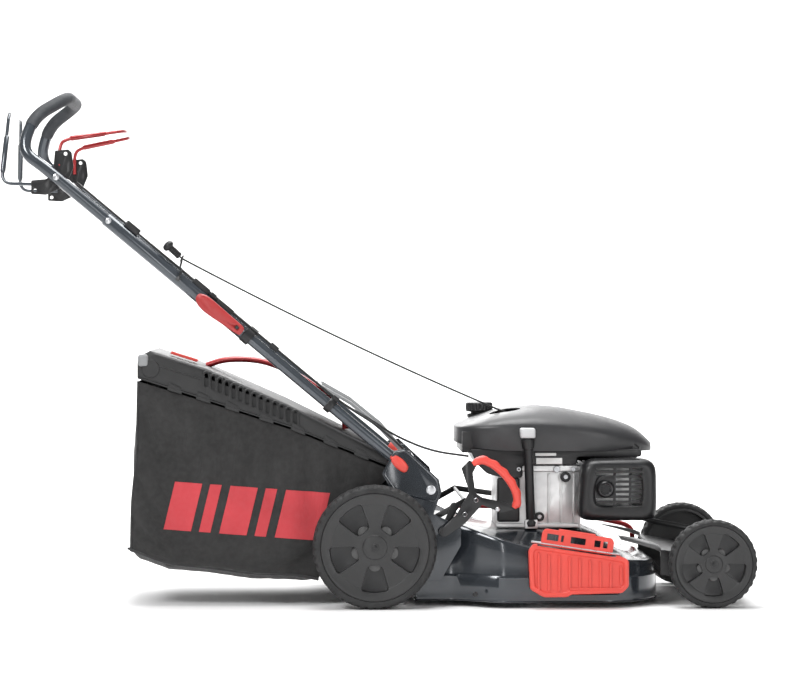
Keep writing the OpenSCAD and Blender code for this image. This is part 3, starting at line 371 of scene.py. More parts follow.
def modified(piece, kind, **settings):
    """Adds a modifier and applies it."""
    made = piece.modifiers.new(kind, kind)
    for key, value in settings.items():
        setattr(made, key, value)
    graph = bpy.context.evaluated_depsgraph_get()
    mesh = bpy.data.meshes.new_from_object(piece.evaluated_get(graph))
    piece.modifiers.clear()
    old = piece.data
    piece.data = mesh
    bpy.data.meshes.remove(old)
    return piece


def bevelled(piece, width, segments=3, angle=30):
    modified(piece, "BEVEL", width=width * MM, segments=segments, limit_method="ANGLE",
             angle_limit=math.radians(angle), use_clamp_overlap=True, harden_normals=False)
    shade(piece.data, 40)
    return piece


def cut(piece, cutters, operation="DIFFERENCE"):
    for cutter in cutters:
        modified(piece, "BOOLEAN", object=cutter, operation=operation, solver="EXACT")
        mesh = cutter.data
        bpy.data.objects.remove(cutter)
        bpy.data.meshes.remove(mesh)
    return piece


def joined(name, pieces):
    """One object from several, each keeping its own material."""
    target = pieces[0]
    with bpy.context.temp_override(active_object=target, object=target, selected_objects=pieces,
                                   selected_editable_objects=pieces):
        bpy.ops.object.join()
    target.name = name
    return target


def grid_faces(rows, count, closed=False, open_rings=False):
    """Quads between neighbouring rings of count points each; closed joins the last ring to the first."""
    faces = []
    for i in range(rows if closed else rows - 1):
        low, high = i * count, (i + 1) % rows * count
        for k in range(count - 1 if open_rings else count):
            j = (k + 1) % count
            faces.append((low + k, low + j, high + j, high + k))
    return faces


def rings_mesh(name, rings, material, closed=False, crease_angle=34, open_rings=False):
    """Skin over a list of rings that all have the same number of points, capped unless it is closed."""
    rows, count = len(rings), len(rings[0])
    verts = [p for ring in rings for p in ring]
    faces = grid_faces(rows, count, closed, open_rings)
    if not closed:
        faces += [tuple(range(count)), tuple(range((rows - 1) * count, rows * count))]
    return from_lists(name, verts, faces, material, crease_angle)


def rounded_route(points, reach, steps=8):
    """Points in metres with each corner replaced by a curve that starts and ends reach mm away."""
    points = [Vector(p) for p in points]
    route = [points[0]]
    for i in range(1, len(points) - 1):
        p, back, ahead = points[i], points[i - 1] - points[i], points[i + 1] - points[i]
        start = p + back.normalized() * min(reach * MM, back.length * 0.48)
        end = p + ahead.normalized() * min(reach * MM, ahead.length * 0.48)
        for k in range(steps + 1):
            s = k / steps
            route.append(start * (1 - s) ** 2 + p * (2 * s * (1 - s)) + end * s * s)
    return route + [points[-1]]


def route_frames(route):
    """Direction and two normals at each point, carried along without twist."""
    frames, normal = [], None
    for i in range(len(route)):
        ahead = route[min(i + 1, len(route) - 1)] - route[i]
        back = route[i] - route[max(i - 1, 0)]
        d = (ahead.normalized() + back.normalized()).normalized()
        if normal is None:
            normal = d.cross(Vector((0, 0, 1)) if abs(d.z) < 0.8 else Vector((1, 0, 0)))
        normal = (normal - d * normal.dot(d)).normalized()
        frames.append((d, normal, d.cross(normal)))
    return frames


def tube(name, route, radius, material, sides=20, radii=None):
    """Round rod along a route; radii gives a radius in mm for each point."""
    rings = []
    for i, (point, (_, a, b)) in enumerate(zip(route, route_frames(route))):
        r = (radii[i] if radii else radius) * MM
        rings.append([point + a * math.cos(t) * r + b * math.sin(t) * r
                      for t in (2 * math.pi * k / sides for k in range(sides))])
    return rings_mesh(name, rings, material)


def lathe(name, centre, axis, profile, material, steps=64, crease_angle=34):
    """Turns [radius, distance along the axis] in mm about an axis through centre."""
    axis = Vector(axis).normalized()
    a = axis.cross(Vector((1, 0, 0)) if abs(axis.x) < 0.8 else Vector((0, 0, 1))).normalized()
    b = axis.cross(a)
    rings = []
    for k in range(steps):
        turn = 2 * math.pi * k / steps
        out = a * math.cos(turn) + b * math.sin(turn)
        rings.append([centre + out * r * MM + axis * h * MM for r, h in profile])
    count = len(profile)
    verts = [p for ring in rings for p in ring]
    faces = grid_faces(steps, count, closed=True, open_rings=True)
    if profile[0][0] > 0:
        faces.append(tuple(i * count for i in range(steps)))
    if profile[-1][0] > 0:
        faces.append(tuple(i * count + count - 1 for i in range(steps)))
    return from_lists(name, verts, faces, material, crease_angle)


def plate(name, outline, y_min, y_max, material):
    """Flat piece cut to a side-view outline in mm, between two Y values."""
    low = [at(x, y_min, z) for x, z in outline]
    high = [at(x, y_max, z) for x, z in outline]
    return rings_mesh(name, [low, high], material)


def block(name, low, high, material):
    """Box between two corners in mm."""
    outline = [(low[0], low[2]), (high[0], low[2]), (high[0], high[2]), (low[0], high[2])]
    return plate(name, outline, low[1], high[1], material)


def soft_outline(points, reach, steps=4):
    """Closed outline in mm with rounded corners."""
    result = []
    count = len(points)
    for i in range(count):
        p = Vector((*points[i], 0))
        back = Vector((*points[i - 1], 0)) - p
        ahead = Vector((*points[(i + 1) % count], 0)) - p
        start = p + back.normalized() * min(reach, back.length * 0.45)
        end = p + ahead.normalized() * min(reach, ahead.length * 0.45)
        for k in range(steps + 1):
            s = k / steps
            q = start * (1 - s) ** 2 + p * (2 * s * (1 - s)) + end * s * s
            result.append((q.x, q.y))
    return result


def refined(cad_node, body, material, bevel=0.8, segments=2, angle=32):
    """A CAD node's shape with its edges broken and its round faces shaded smooth."""
    form = bmesh.new()
    form.from_mesh(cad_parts[cad_node].data)
    bmesh.ops.remove_doubles(form, verts=form.verts, dist=2e-5)
    bmesh.ops.dissolve_limit(form, angle_limit=math.radians(1.5), verts=form.verts, edges=form.edges)
    mesh = bpy.data.meshes.new(cad_node + "_shape")
    form.to_mesh(mesh)
    form.free()
    piece = new_object(cad_node + "_shape", mesh, material)
    if bevel:
        bevelled(piece, bevel, segments, angle)
    finish_piece(piece, body, material, cad_node)
    return piece


def finish_piece(piece, body, slot, *replaced):
    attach(piece, body)
    if replaced:
        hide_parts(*replaced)
    return piece


# ---------------------------------------------------------------- wheels

def pocket_outline(r):
    """Rounded fan-shaped pocket in a wheel's disc, as [along the spoke gap, across it]."""
    inner, outer = 0.29 * r, 0.735 * r
    half_in, half_out = 0.115 * r, 0.235 * r
    return soft_outline([(inner, -half_in), (outer - 0.035 * r, -half_out), (outer, 0),
                         (outer - 0.035 * r, half_out), (inner, half_in)], 0.07 * r, 5)


def wheel_basis(side):
    """Across and up axes of a wheel's face, and the way outwards."""
    return Vector((1, 0, 0)), Vector((0, 0, 1)), Vector((0, side, 0))


def make_rim(name, body, cad_rim, centre, r, side, materials):
    """Disc with five closed pockets, a sloping rim and a hub."""
    hub_y, spoke_y, floor_y = WHEEL_W - 2, WHEEL_W - 5.5, WHEEL_W - 20
    inner_face = centre - Vector((0, side, 0)) * WHEEL_W / 2 * MM
    profile = [(6.5, 2), (19, 2), (19, floor_y - 4), (r * 0.78, floor_y - 4), (r * 0.80, 3),
               (r * 0.865, 3), (r * 0.872, WHEEL_W - 4.5), (r * 0.865, WHEEL_W - 1.5),
               (r * 0.845, WHEEL_W - 1.2), (r * 0.79, WHEEL_W - 2.6), (r * 0.72, WHEEL_W - 5.4),
               (r * 0.70, spoke_y - 0.6), (r * 0.69, spoke_y - 1.4), (r * 0.30, spoke_y - 1.0),
               (r * 0.20, spoke_y), (r * 0.19, hub_y - 1.4), (r * 0.165, hub_y - 0.4), (r * 0.05, hub_y),
               (6.5, hub_y)]
    rim = lathe(name, inner_face, (0, side, 0), profile, materials["wheel_plastic"], 120)
    across, up, out = wheel_basis(side)
    cutters = []
    for k in range(5):
        turn = math.radians(-90 + 72 * k)
        along = across * math.cos(turn) + up * math.sin(turn)
        beside = -across * math.sin(turn) + up * math.cos(turn)
        rings = []
        for depth, grow in ((floor_y, 0.95), (WHEEL_W - 9, 0.985), (WHEEL_W + 6, 1.06)):
            mid = 0.51 * r
            rings.append([inner_face + (along * (mid + (u - mid) * grow) + beside * v * grow + out * depth)
                          * MM for u, v in pocket_outline(r)])
        cutters.append(rings_mesh(name + "_pocket", rings, None))
    cut(rim, cutters)
    bevelled(rim, 0.9, 2, 30)
    # painted shade: the pocket floors get black plastic so the recesses read dark, in place of the shade that
    # falls there
    rim.data.materials.append(materials["black_plastic"])
    for face in rim.data.polygons:
        offset = face.center - inner_face
        depth = offset.y * side / MM
        reach = math.hypot(offset.x, offset.z) / MM
        if floor_y - 2 < depth < floor_y + 2 and 0.25 * r < reach < 0.78 * r:
            face.material_index = 1
    finish_piece(rim, body, "wheel_plastic", cad_rim)
    pads = []
    for k in range(5):
        turn = math.radians(-90 + 72 * k)
        along = across * math.cos(turn) + up * math.sin(turn)
        place = inner_face + (along * 0.285 * r + out * (WHEEL_W - 13)) * MM
        pads.append(lathe("pad", place, (0, side, 0), [(0.105 * r, -8), (0.105 * r, 0), (0.095 * r, 0.9),
                                                       (0, 1.1)], materials["pad_plastic"], 28))
    finish_piece(joined(name + "_pads", pads), body, "wheel_plastic")
    cap = lathe(name + "_cap", inner_face, (0, side, 0),
                [(9.5, hub_y - 3), (9.5, hub_y + 0.4), (8.6, hub_y + 1.2), (0, hub_y + 1.5)],
                materials["wheel_plastic"], 40)
    finish_piece(cap, body, "wheel_plastic")


def make_tyre(name, body, cad_tyre, centre, r, side, materials):
    """Tyre whose shoulders carry a ring of blocks and whose tread is a row of bars."""
    lugs = 44 if r > 120 else 32
    steps = lugs * 10
    inner_face = centre - Vector((0, side, 0)) * WHEEL_W / 2 * MM
    across, up, out = wheel_basis(side)
    w = WHEEL_W
    # radius, distance outwards, and how much of the tread's depth the point loses between blocks
    profile = [(r * 0.868, 6, 0), (r * 0.868, 1.5, 0), (r * 0.885, 0.2, 0), (r * 0.935, 0, 0.0),
               (r * 0.958, 1.0, 0.25), (r * 0.975, 2.5, 1), (r * 0.988, 6, 1), (r - 0.4, 10, 1),
               (r, 14, 1), (r, 19, 0.9), (r, 21, 0), (r, 27, 0), (r, 29, 0.9), (r, 34, 1),
               (r - 0.4, 38, 1), (r * 0.988, w - 6, 1), (r * 0.975, w - 2.5, 1),
               (r * 0.958, w - 1.0, 0.25), (r * 0.935, w, 0), (r * 0.885, w - 0.4, 0),
               (r * 0.874, w - 1.8, 0), (r * 0.868, w - 6, 0)]
    depth = 2.6
    rings = []
    for i in range(steps):
        turn = 2 * math.pi * i / steps
        ring = []
        for radius, h, share in profile:
            shift = 0.5 if h < w / 2 else 0.0
            phase = (i / 10 + shift) % 1
            dip = min(1, max(0, (abs(phase - 0.5) - 0.26) / 0.09))
            fall = depth * dip * share
            direction = across * math.cos(turn) + up * math.sin(turn)
            tuck = 0.5 * fall if h in (2.5, w - 2.5) else 0.0
            h2 = h + (tuck if h < w / 2 else -tuck)
            ring.append(inner_face + (direction * (radius - fall) + out * h2) * MM)
        rings.append(ring)
    tyre = rings_mesh(name, rings, materials["tyre_rubber"], closed=True, crease_angle=40)
    finish_piece(tyre, body, "tyre_rubber", cad_tyre)


def make_wheels(materials):
    for end, r in (("rear", REAR_Z), ("front", FRONT_Z)):
        for hand, side in SIDES.items():
            centre = Vector(box_centre(f"{end}_tyre_{hand}"))
            body = f"{end}_wheel_{hand}"
            make_rim(f"{end}_rim_{hand}_disc", body, f"{end}_rim_{hand}", centre, r, side, materials)
            make_tyre(f"{end}_tyre_{hand}_tread", body, f"{end}_tyre_{hand}", centre, r, side, materials)


# ---------------------------------------------------------------- deck

DECK_HALF_W = (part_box("deck")[1][1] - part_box("deck")[0][1]) / 2 / MM
DECK_FRONT = (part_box("deck")[1][0] - AXLE_X) / MM
SKIRT_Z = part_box("deck")[0][2] / MM
DECK_CORNER_R = 150
ENGINE_FLAT_R = 118
ENGINE_FLAT_Z = 169.4


def deck_plan(inset, rear_half_w):
    """Right half of the deck's plan from the middle of its front to the middle of its rear, in mm."""
    points = []
    r = DECK_CORNER_R - inset
    cx, cy = DECK_FRONT - DECK_CORNER_R, DECK_HALF_W - DECK_CORNER_R
    for k in range(6):
        points.append((DECK_FRONT - inset, -cy * k / 6))
    for k in range(17):
        turn = math.radians(90 * k / 16)
        points.append((cx + r * math.cos(turn), -cy - r * math.sin(turn)))
    edge = DECK_HALF_W - inset
    for k in range(1, 13):
        points.append((cx + (300 - cx) * k / 12, -edge))
    for k in range(1, 15):
        s = k / 14
        ease = s * s * (3 - 2 * s)
        points.append((300 + (168 - 300) * s, -(edge + (rear_half_w - inset - edge) * ease)))
    for k in range(1, 6):
        points.append((168 + (96 + inset - 168) * k / 5, -(rear_half_w - inset)))
    for k in range(1, 7):
        points.append((94 + inset, -(rear_half_w - inset) * (1 - k / 6)))
    return points


def shoulder_z(x):
    """Height of the deck's shoulder: it falls from the back of the deck to its front."""
    stops = [(90, 214), (130, 206), (180, 192), (240, 171), (355, 136), (440, 124), (520, 111), (654, 101)]
    for (x0, z0), (x1, z1) in zip(stops, stops[1:]):
        if x <= x1:
            s = max(0, (x - x0) / (x1 - x0))
            return z0 + (z1 - z0) * s
    return stops[-1][1]


def make_deck(materials):
    """Pressed steel: rolled lower edge, two-step skirt, raised shoulder and a flat for the engine."""
    steps = [(-1.5, 0.0, 0), (0.5, 1.5, 0), (1.0, 5, 0), (0.0, 9, 0), (0.0, 30, 0), (0.5, 54, 0),
             (4.0, 58, 0), (4.5, 62, 0), (5.0, 0.30, 1), (5.5, 0.62, 1), (6.5, 0.86, 1), (8.5, 0.95, 1),
             (12, 0.99, 1), (18, 1.0, 1), (22, 0.985, 1), (26, 0.94, 1), (31, 0.925, 1), (46, 0.93, 1)]
    rings = []
    for inset, height, kind in steps:
        half = deck_plan(inset, 205)
        ring = []
        for x, y in half:
            top = shoulder_z(x)
            z = SKIRT_Z + height if kind == 0 else SKIRT_Z + 62 + (top - SKIRT_Z - 62) * height
            ring.append((x, y, z))
        ring += [(x, -y, z) for x, y, z in reversed(ring[1:-1])]
        rings.append([at(*p) for p in ring])
    count = len(rings[0])
    crank_x = (box_centre("crankshaft")[0] - AXLE_X) / MM
    for share in (0.35, 0.7, 1.0):
        ring = []
        for k in range(count):
            edge = rings[len(steps) - 1][k]
            x0, y0, z0 = (edge.x - AXLE_X) / MM, edge.y / MM, edge.z / MM
            angle = math.atan2(y0, x0 - crank_x)
            x1, y1 = crank_x + ENGINE_FLAT_R * math.cos(angle), ENGINE_FLAT_R * math.sin(angle)
            ease = share * share * (3 - 2 * share)
            ring.append(at(x0 + (x1 - x0) * share, y0 + (y1 - y0) * share, z0 + (ENGINE_FLAT_Z - z0) * ease))
        rings.append(ring)
    verts = [p for ring in rings for p in ring]
    faces = grid_faces(len(rings), count)
    faces.append(tuple(range((len(rings) - 1) * count, len(rings) * count)))
    deck = from_lists("deck_shell", verts, faces, materials["deck_paint"], 60)
    modified(deck, "SOLIDIFY", thickness=2.0 * MM, offset=-1)
    cutters = [block("mouth", (70, -150, 160), (112, 150, 203), None),
               block("belt_way", (70, -60, 5), (112, 60, 156), None),
               block("side_way", (376, -280, 30), (552, -225, 68), None)]
    cut(deck, cutters)
    shade(deck.data, 38)
    finish_piece(deck, "root", "deck_paint", "deck")
    for x, z in ((226, 33), (96, 120)):
        screw = lathe("skirt_screw", at(x, -DECK_HALF_W + (0 if x > 150 else 57), z), (0, -1, 0),
                      [(6, 0), (6, 2), (4, 3.6), (0, 4)], materials["black_paint"], 20)
        finish_piece(screw, "root", "black_paint")


# ---------------------------------------------------------------- engine

def interpolate(stops, x):
    """Smooth curve through [x, value] stops."""
    if x <= stops[0][0]:
        return stops[0][1]
    for i in range(len(stops) - 1):
        x0, v0 = stops[i]
        x1, v1 = stops[i + 1]
        if x <= x1:
            xa, va = stops[max(i - 1, 0)]
            xb, vb = stops[min(i + 2, len(stops) - 1)]
            m0 = (v1 - va) / (x1 - xa)
            m1 = (vb - v0) / (xb - x0)
            s, h = (x - x0) / (x1 - x0), x1 - x0
            return (v0 * (2 * s ** 3 - 3 * s * s + 1) + m0 * h * (s ** 3 - 2 * s * s + s) + v1
                    * (3 * s * s - 2 * s ** 3) + m1 * h * (s ** 3 - s * s))
    return stops[-1][1]


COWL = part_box("engine_cover")
COWL_BACK = (COWL[0][0] - AXLE_X) / MM
COWL_NOSE = (COWL[1][0] - AXLE_X) / MM
COWL_HALF_W = COWL[1][1] / MM
COWL_TOP = COWL[1][2] / MM


def make_cowl(materials):
    """Domed cowl with a crease along its flank and a lens-shaped slot where the rope comes out."""
    back, nose = COWL_BACK, COWL_NOSE
    top = [(back, 402), (back + 30, 417), (290, 440), (330, 446.5), (381, COWL_TOP - 0.4), (430, 446),
           (464, 440.5), (546, 423), (601, 404), (nose - 30, 389), (nose, 362)]
    crease = [(back, 399), (330, 402), (450, 396), (540, 384), (615, 368), (nose, 352)]
    lower = [(back, 366), (240, 355), (310, 349.5), (480, 348.5), (600, 347), (nose, 345)]
    stations = 44
    rings = []
    for i in range(stations + 1):
        s = 0.5 - 0.5 * math.cos(math.pi * i / stations)
        x = back + 0.6 + (nose - back - 1.2) * s
        t = abs(2 * s - 1)
        reach = 3.4 if s < 0.5 else 2.5
        w = COWL_HALF_W * max(0.0, 1 - t ** reach) ** (1 / reach)
        w = max(w, 6)
        zt, zc, zb = interpolate(top, x), interpolate(crease, x), interpolate(lower, x)
        zt = max(zt, zc + 1.5)
        ring = [(-w * 0.955, zb), (-w * 0.985, zb + (zc - zb) * 0.35), (-w * 0.997, zb + (zc - zb) * 0.75),
                (-w, zc - 0.6), (-w * 0.997, zc + 0.9)]
        for k in range(1, 12):
            a = math.pi / 2 * k / 12
            ring.append((-w * 0.994 * math.cos(a) ** 0.86, zc + 1 + (zt - zc - 1) * math.sin(a) ** 1.12))
        ring.append((0, zt))
        ring += [(-y, z) for y, z in reversed(ring[:-1])]
        rings.append([at(x, y, z) for y, z in ring])
    cowl = rings_mesh("cowl_shell", rings, materials["cowl_plastic"], crease_angle=60, open_rings=True)
    modified(cowl, "SOLIDIFY", thickness=2.6 * MM, offset=-1)
    slot = lathe("slot", at(0, 0, 0), (0, 0, 1), [(0.01, -1)]
                 + [(math.sin(math.pi * k / 16), -math.cos(math.pi * k / 16)) for k in range(1, 16)]
                 + [(0.01, 1)], None, 40)
    slot.data.transform(Matrix.Translation(-at(0, 0, 0)))
    slot.data.transform(Matrix.Diagonal((38, 21, 17, 1)))
    slot.data.transform(Matrix.Rotation(math.radians(-8), 4, "Y"))
    slot.data.transform(Matrix.Translation(at(309, -62, 434)))
    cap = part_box("fuel_cap")
    neck = lathe("neck", Vector(((cap[0][0] + cap[1][0]) / 2, (cap[0][1] + cap[1][1]) / 2, 0.38)),
                 (0, 0, 1), [(29.5, 0), (29.5, 90)], None, 40)
    cut(cowl, [slot, neck])
    shade(cowl.data, 27)
    finish_piece(cowl, "root", "cowl_plastic", "engine_cover")
    under = plate("cowl_liner", [(206, 352), (236, 340), (600, 338), (622, 352), (600, 372), (214, 378)],
                  -108, 108, materials["black_plastic"])
    bevelled(under, 6, 3)
    finish_piece(under, "root", "black_plastic")


def make_muffler_guard(materials):
    """Deep rounded cover with a recessed, slotted face round the exhaust outlet."""
    low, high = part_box("muffler_guard")
    x0, x1 = (low[0] - AXLE_X) / MM, (high[0] - AXLE_X) / MM
    z0, z1 = low[2] / MM, high[2] / MM
    y0, y1 = low[1] / MM, high[1] / MM

    def frame_outline(inset, radius):
        a, b, c, d = x0 + inset, x1 - inset, z0 + inset, z1 - inset
        return soft_outline([(a + 6, c), (b - 6, c), (b, c + 26), (b - 2, d), (a + 10, d), (a, c + 30)],
                            radius, 6)

    outer = [(0, y1), (0, y0 + 26), (1.5, y0 + 14), (6, y0 + 5), (12, y0 + 1), (17, y0)]
    inner = [(30, y0), (33, y0 + 1.5), (36, y0 + 7)]
    rings = [[at(x, y, z) for x, z in frame_outline(inset, 34 - inset * 0.4)] for inset, y in outer + inner]
    guard = rings_mesh("muffler_guard_shell", rings, materials["black_plastic"], crease_angle=50)
    cutters = [lathe("outlet", at(530, y0 - 10, 264), (0, 1, 0), [(17, 0), (17, 60)], None, 32)]
    for i in range(8):
        z = 226 + i * 11.5
        if not 240 < z < 286:
            cutters.append(block("slit", (508, y0 - 5, z), (548, y0 + 20, z + 5.5), None))
        cutters.append(block("slit", (554, y0 - 5, z), (584, y0 + 20, z + 5.5), None))
        cutters.append(block("slit", (590, y0 - 5, z), (614, y0 + 20, z + 5.5), None))
    for x in (500, 560):
        cutters.append(block("top_slit", (x, y0 + 12, z1 - 12), (x + 50, y0 + 20, z1 + 6), None))
    hollow = [[at(x, y, z) for x, z in frame_outline(6, 30)] for y in (y0 + 10, y1 + 6)]
    cutters.insert(0, rings_mesh("hollow", hollow, None))
    cut(guard, cutters)
    bevelled(guard, 0.7, 2, 40)
    finish_piece(guard, "root", "black_plastic", "muffler_guard")
    ring = lathe("outlet_ring", at(530, y0 - 2, 264), (0, -1, 0),
                 [(11.2, -16), (11.2, 3), (13, 4.4), (16, 4), (19, 1), (20, -3), (20, -5), (12, -5)],
                 materials["black_paint"], 48)
    finish_piece(ring, "root", "black_paint")
    heat = block("muffler_face", (494, -136.5, 212), (624, -134.2, 312), materials["cast_aluminium"])
    bevelled(heat, 0.8)
    finish_piece(heat, "root", "cast_aluminium")


def make_engine(materials):
    refined("engine_block", "root", materials["cast_aluminium"], 1.4, 3)
    refined("muffler", "root", materials["bright_steel"], 1.2)
    refined("intake", "root", materials["black_plastic"], 3, 3)
    refined("spark_plug", "root", materials["black_plastic"], 0.5)
    refined("fuel_tank", "root", materials["black_plastic"], 4, 3)
    refined("fasteners", "root", materials["bright_steel"], 0.7)
    make_cowl(materials)
    make_muffler_guard(materials)
    # ribs, bolts and trim on the crankcase's near side
    y = -112
    parts = []
    for x in (404, 432, 462):
        parts.append(bevelled(block("case_rib", (x, y - 3.5, 176), (x + 5, y + 1, 296),
                                    materials["cast_aluminium"]), 1.4))
    parts.append(bevelled(block("case_flange", (286, -119.5, 301), (472, -110, 314),
                                materials["cast_aluminium"]), 1.2))
    parts.append(bevelled(block("foot_flange", (284, -118, 171), (474, -108, 180),
                                materials["cast_aluminium"]), 1.5))
    finish_piece(joined("case_ribs", parts), "root", "cast_aluminium")
    bolts = []
    for x, z, r in ((424, 306, 8), (384, 196, 11), (384, 196.2, 5), (444, 288, 12), (444, 288.2, 5.5),
                    (336, 306, 6), (462, 306, 6)):
        stud = lathe("stud", at(x, -121 if r < 6 else -118, z), (0, -1, 0),
                     [(r, 0), (r, 5), (r * 0.86, 6.4), (r * 0.4, 6.4), (r * 0.36, 4), (0, 4)],
                     materials["bright_steel"] if r < 9 else materials["black_paint"], 6 if r == 6 else 28)
        bolts.append(stud)
    finish_piece(joined("engine_bolts", bolts), "root", "bright_steel")
    # black fan housing between the crankcase and the cowl, with two blank labels
    outline = soft_outline([(222, 352), (240, 318), (262, 296), (292, 288), (344, 286), (344, 316),
                            (470, 316), (470, 334), (620, 334), (620, 352)], 8)
    housing = rings_mesh("fan_housing", [[at(x, yy, z) for x, z in outline] for yy in (-124, -112, 112, 124)],
                         materials["black_plastic"])
    bevelled(housing, 2, 3)
    finish_piece(housing, "root", "black_plastic")
    labels = [block("label", (374, -125.4, 337), (422, -124, 343.5), materials["sticker"]),
              block("label", (376, -125.4, 318), (436, -124, 332), materials["sticker"])]
    for piece in labels:
        bevelled(piece, 0.4, 2)
    finish_piece(joined("blank_labels", labels), "root", materials["sticker"])
    cover = block("side_cover", (286, -124, 184), (338, -111, 286), materials["black_plastic"])
    bevelled(cover, 5, 4)
    finish_piece(cover, "root", "black_plastic")


def make_dipstick(materials):
    low, high = Vector(at(364, -124, 178)), Vector(at(353, -167, 380))
    along = (high - low).normalized()
    stem = [low - along * 0.004, low + (high - low) * 0.3, low + (high - low) * 0.8, high]
    black = tube("dipstick_tube_body", stem, 10, materials["black_plastic"], 28, radii=[11, 10.5, 10.5, 12.5])
    finish_piece(black, "root", "black_plastic", "dipstick_tube")
    collar = lathe("dipstick_collar", high - along * 0.024, along,
                   [(10, 0), (14.5, 2), (15.5, 20), (14, 23.5), (9, 23.5)], materials["black_plastic"], 32)
    foot = lathe("dipstick_foot", low - along * 0.002, along, [(10, 0), (15, 1), (15, 10), (11, 16)],
                 materials["black_plastic"], 32)
    finish_piece(collar, "root", "black_plastic")
    finish_piece(foot, "root", "black_plastic")
    rings = []
    for h, w, d in ((0.6, 15.5, 12), (3, 17, 13.5), (17, 17.6, 14), (22, 17, 13.2), (24, 14, 10.5)):
        centre = high + along * h * MM
        outline = soft_outline([(-w, -d), (w, -d), (w, d), (-w, d)], 6, 4)
        rings.append([centre + Vector((u, v, 0)) * MM for u, v in outline])
    cap = rings_mesh("dipstick_cap", rings, materials["white_plastic"], crease_angle=50)
    blade = tube("dipstick_blade", [high - along * 0.15, high + along * 0.002], 3,
                 materials["bright_steel"], 12)
    finish_piece(joined("dipstick_handle", [cap, blade]), "dipstick", "white_plastic", "dipstick")


def make_fuel_cap(materials):
    low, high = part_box("fuel_cap")
    centre = Vector(((low[0] + high[0]) / 2, (low[1] + high[1]) / 2, low[2]))
    r = (high[0] - low[0]) / 2 / MM
    h = (high[2] - low[2]) / MM
    rings = []
    teeth, per = 20, 8
    for z, grow, bite in ((0, 0.93, 0), (1.2, 0.985, 0), (4, 1, 0), (6, 1, 1), (h - 5, 1, 1),
                          (h - 3, 0.985, 0.6), (h - 1, 0.93, 0.1), (h, 0.84, 0), (h, 0.5, 0)):
        ring = []
        for k in range(teeth * per):
            phase = k % per / per
            dip = 2.4 * bite * max(0, math.cos(2 * math.pi * phase)) ** 0.7
            a = 2 * math.pi * k / (teeth * per)
            ring.append(centre + Vector(((r * grow - dip) * math.cos(a), (r * grow - dip) * math.sin(a),
                                         z)) * MM)
        rings.append(ring)
    cap = rings_mesh("fuel_cap_body", rings, materials["black_plastic"], crease_angle=45)
    finish_piece(cap, "fuel_cap", "black_plastic", "fuel_cap")
    neck = lathe("filler_neck", centre - Vector((0, 0, 0.05)), (0, 0, 1),
                 [(27, 0), (27, 36), (29, 38), (29, 44), (20, 46)], materials["black_plastic"], 40)
    finish_piece(neck, "root", "black_plastic")


# ---------------------------------------------------------------- handle

HANDLE_ANGLE = 39.9
FOLD_X, FOLD_Z = 128, 266.5
TUBE_Y = 212


def on_tube(t, n=0.0, y=0.0):
    """Point t mm up a handle tube's axis from the fold, n mm off its upper side."""
    a = math.radians(HANDLE_ANGLE)
    return at(FOLD_X - math.cos(a) * t + math.sin(a) * n, y, FOLD_Z + math.sin(a) * t + math.cos(a) * n)


TUBE_DIR = (on_tube(1) - on_tube(0)).normalized()


def tube_box(name, t0, t1, n0, n1, y0, y1, material, bevel=1.5):
    """Block lined up with the handle tube."""
    rings = [[on_tube(t, n, y) for n, y in ((n0, y0), (n1, y0), (n1, y1), (n0, y1))] for t in (t0, t1)]
    piece = rings_mesh(name, rings, material)
    return bevelled(piece, bevel, 3) if bevel else piece


def make_lower_tubes(materials):
    parts = []
    for side in SIDES.values():
        y = side * TUBE_Y
        start = [on_tube(-4, 0, y), on_tube(6, 0, y)]
        route = start + [on_tube(t, 0, y) for t in (200, 400, 600, 738, 740)]
        parts.append(tube("lower", route, 12.5, materials["tube_paint"], 36,
                          radii=[11.5, 12.5, 12.5, 12.5, 12.5, 12.5, 11.6]))
        parts.append(lathe("eye", at(FOLD_X, y - 10, FOLD_Z), (0, 1, 0),
                           [(5, 0), (14.2, 0), (15, 0.8), (15, 19.2), (14.2, 20), (5, 20)],
                           materials["tube_paint"], 40))
        clip = lathe("ring_clip", on_tube(290, 0, y), TUBE_DIR,
                     [(12.6, 0), (16, 0), (17, 1.5), (17, 14), (16, 16), (12.6, 16)],
                     materials["black_plastic"], 36)
        ear = tube_box("clip_ear", 290, 306, 14, 25, y - 5, y + 5, materials["black_plastic"])
        parts += [clip, ear]
    finish_piece(joined("lower_tube_pair", parts), "lower_handle", "tube_paint", "lower_tubes")


def make_latches(materials):
    """Long hexagonal thumb pieces with a raised middle."""
    parts = []
    for side in SIDES.values():
        y = side * TUBE_Y
        sleeve = lathe("latch_sleeve", on_tube(68, 0, y), TUBE_DIR,
                       [(12.8, 0), (15.6, 0), (16, 1), (16, 45), (15.6, 46), (12.8, 46)],
                       materials["red_plastic"], 36)
        outline = soft_outline([(66, -4), (72, 9), (92, 13.5), (112, 11), (120, 2), (116, -8), (96, -13.5),
                                (74, -12)], 7, 4)
        rings = []
        for out, shrink in ((2, 1.0), (16, 1.0), (21, 0.93), (23.5, 0.72)):
            rings.append([on_tube(93 + (t - 93) * shrink, n * shrink, y + side * out) for t, n in outline])
        grip = rings_mesh("latch_grip", rings, materials["red_plastic"], crease_angle=50)
        parts += [sleeve, grip]
    finish_piece(joined("latch_pair", parts), "latches", "red_plastic", "tube_latches")


def loop_route():
    corners = [(-796, 205, 1032), (-772, 172, 1112), (-700, 122, 1160)]
    right = [on_tube(905, 0, -TUBE_Y), on_tube(1130, 0, -TUBE_Y)] + [at(x, -y, z) for x, y, z in corners]
    left = [on_tube(905, 0, TUBE_Y), on_tube(1130, 0, TUBE_Y)] + [at(x, y, z) for x, y, z in corners]
    return rounded_route(right + left[::-1], 40, 10)


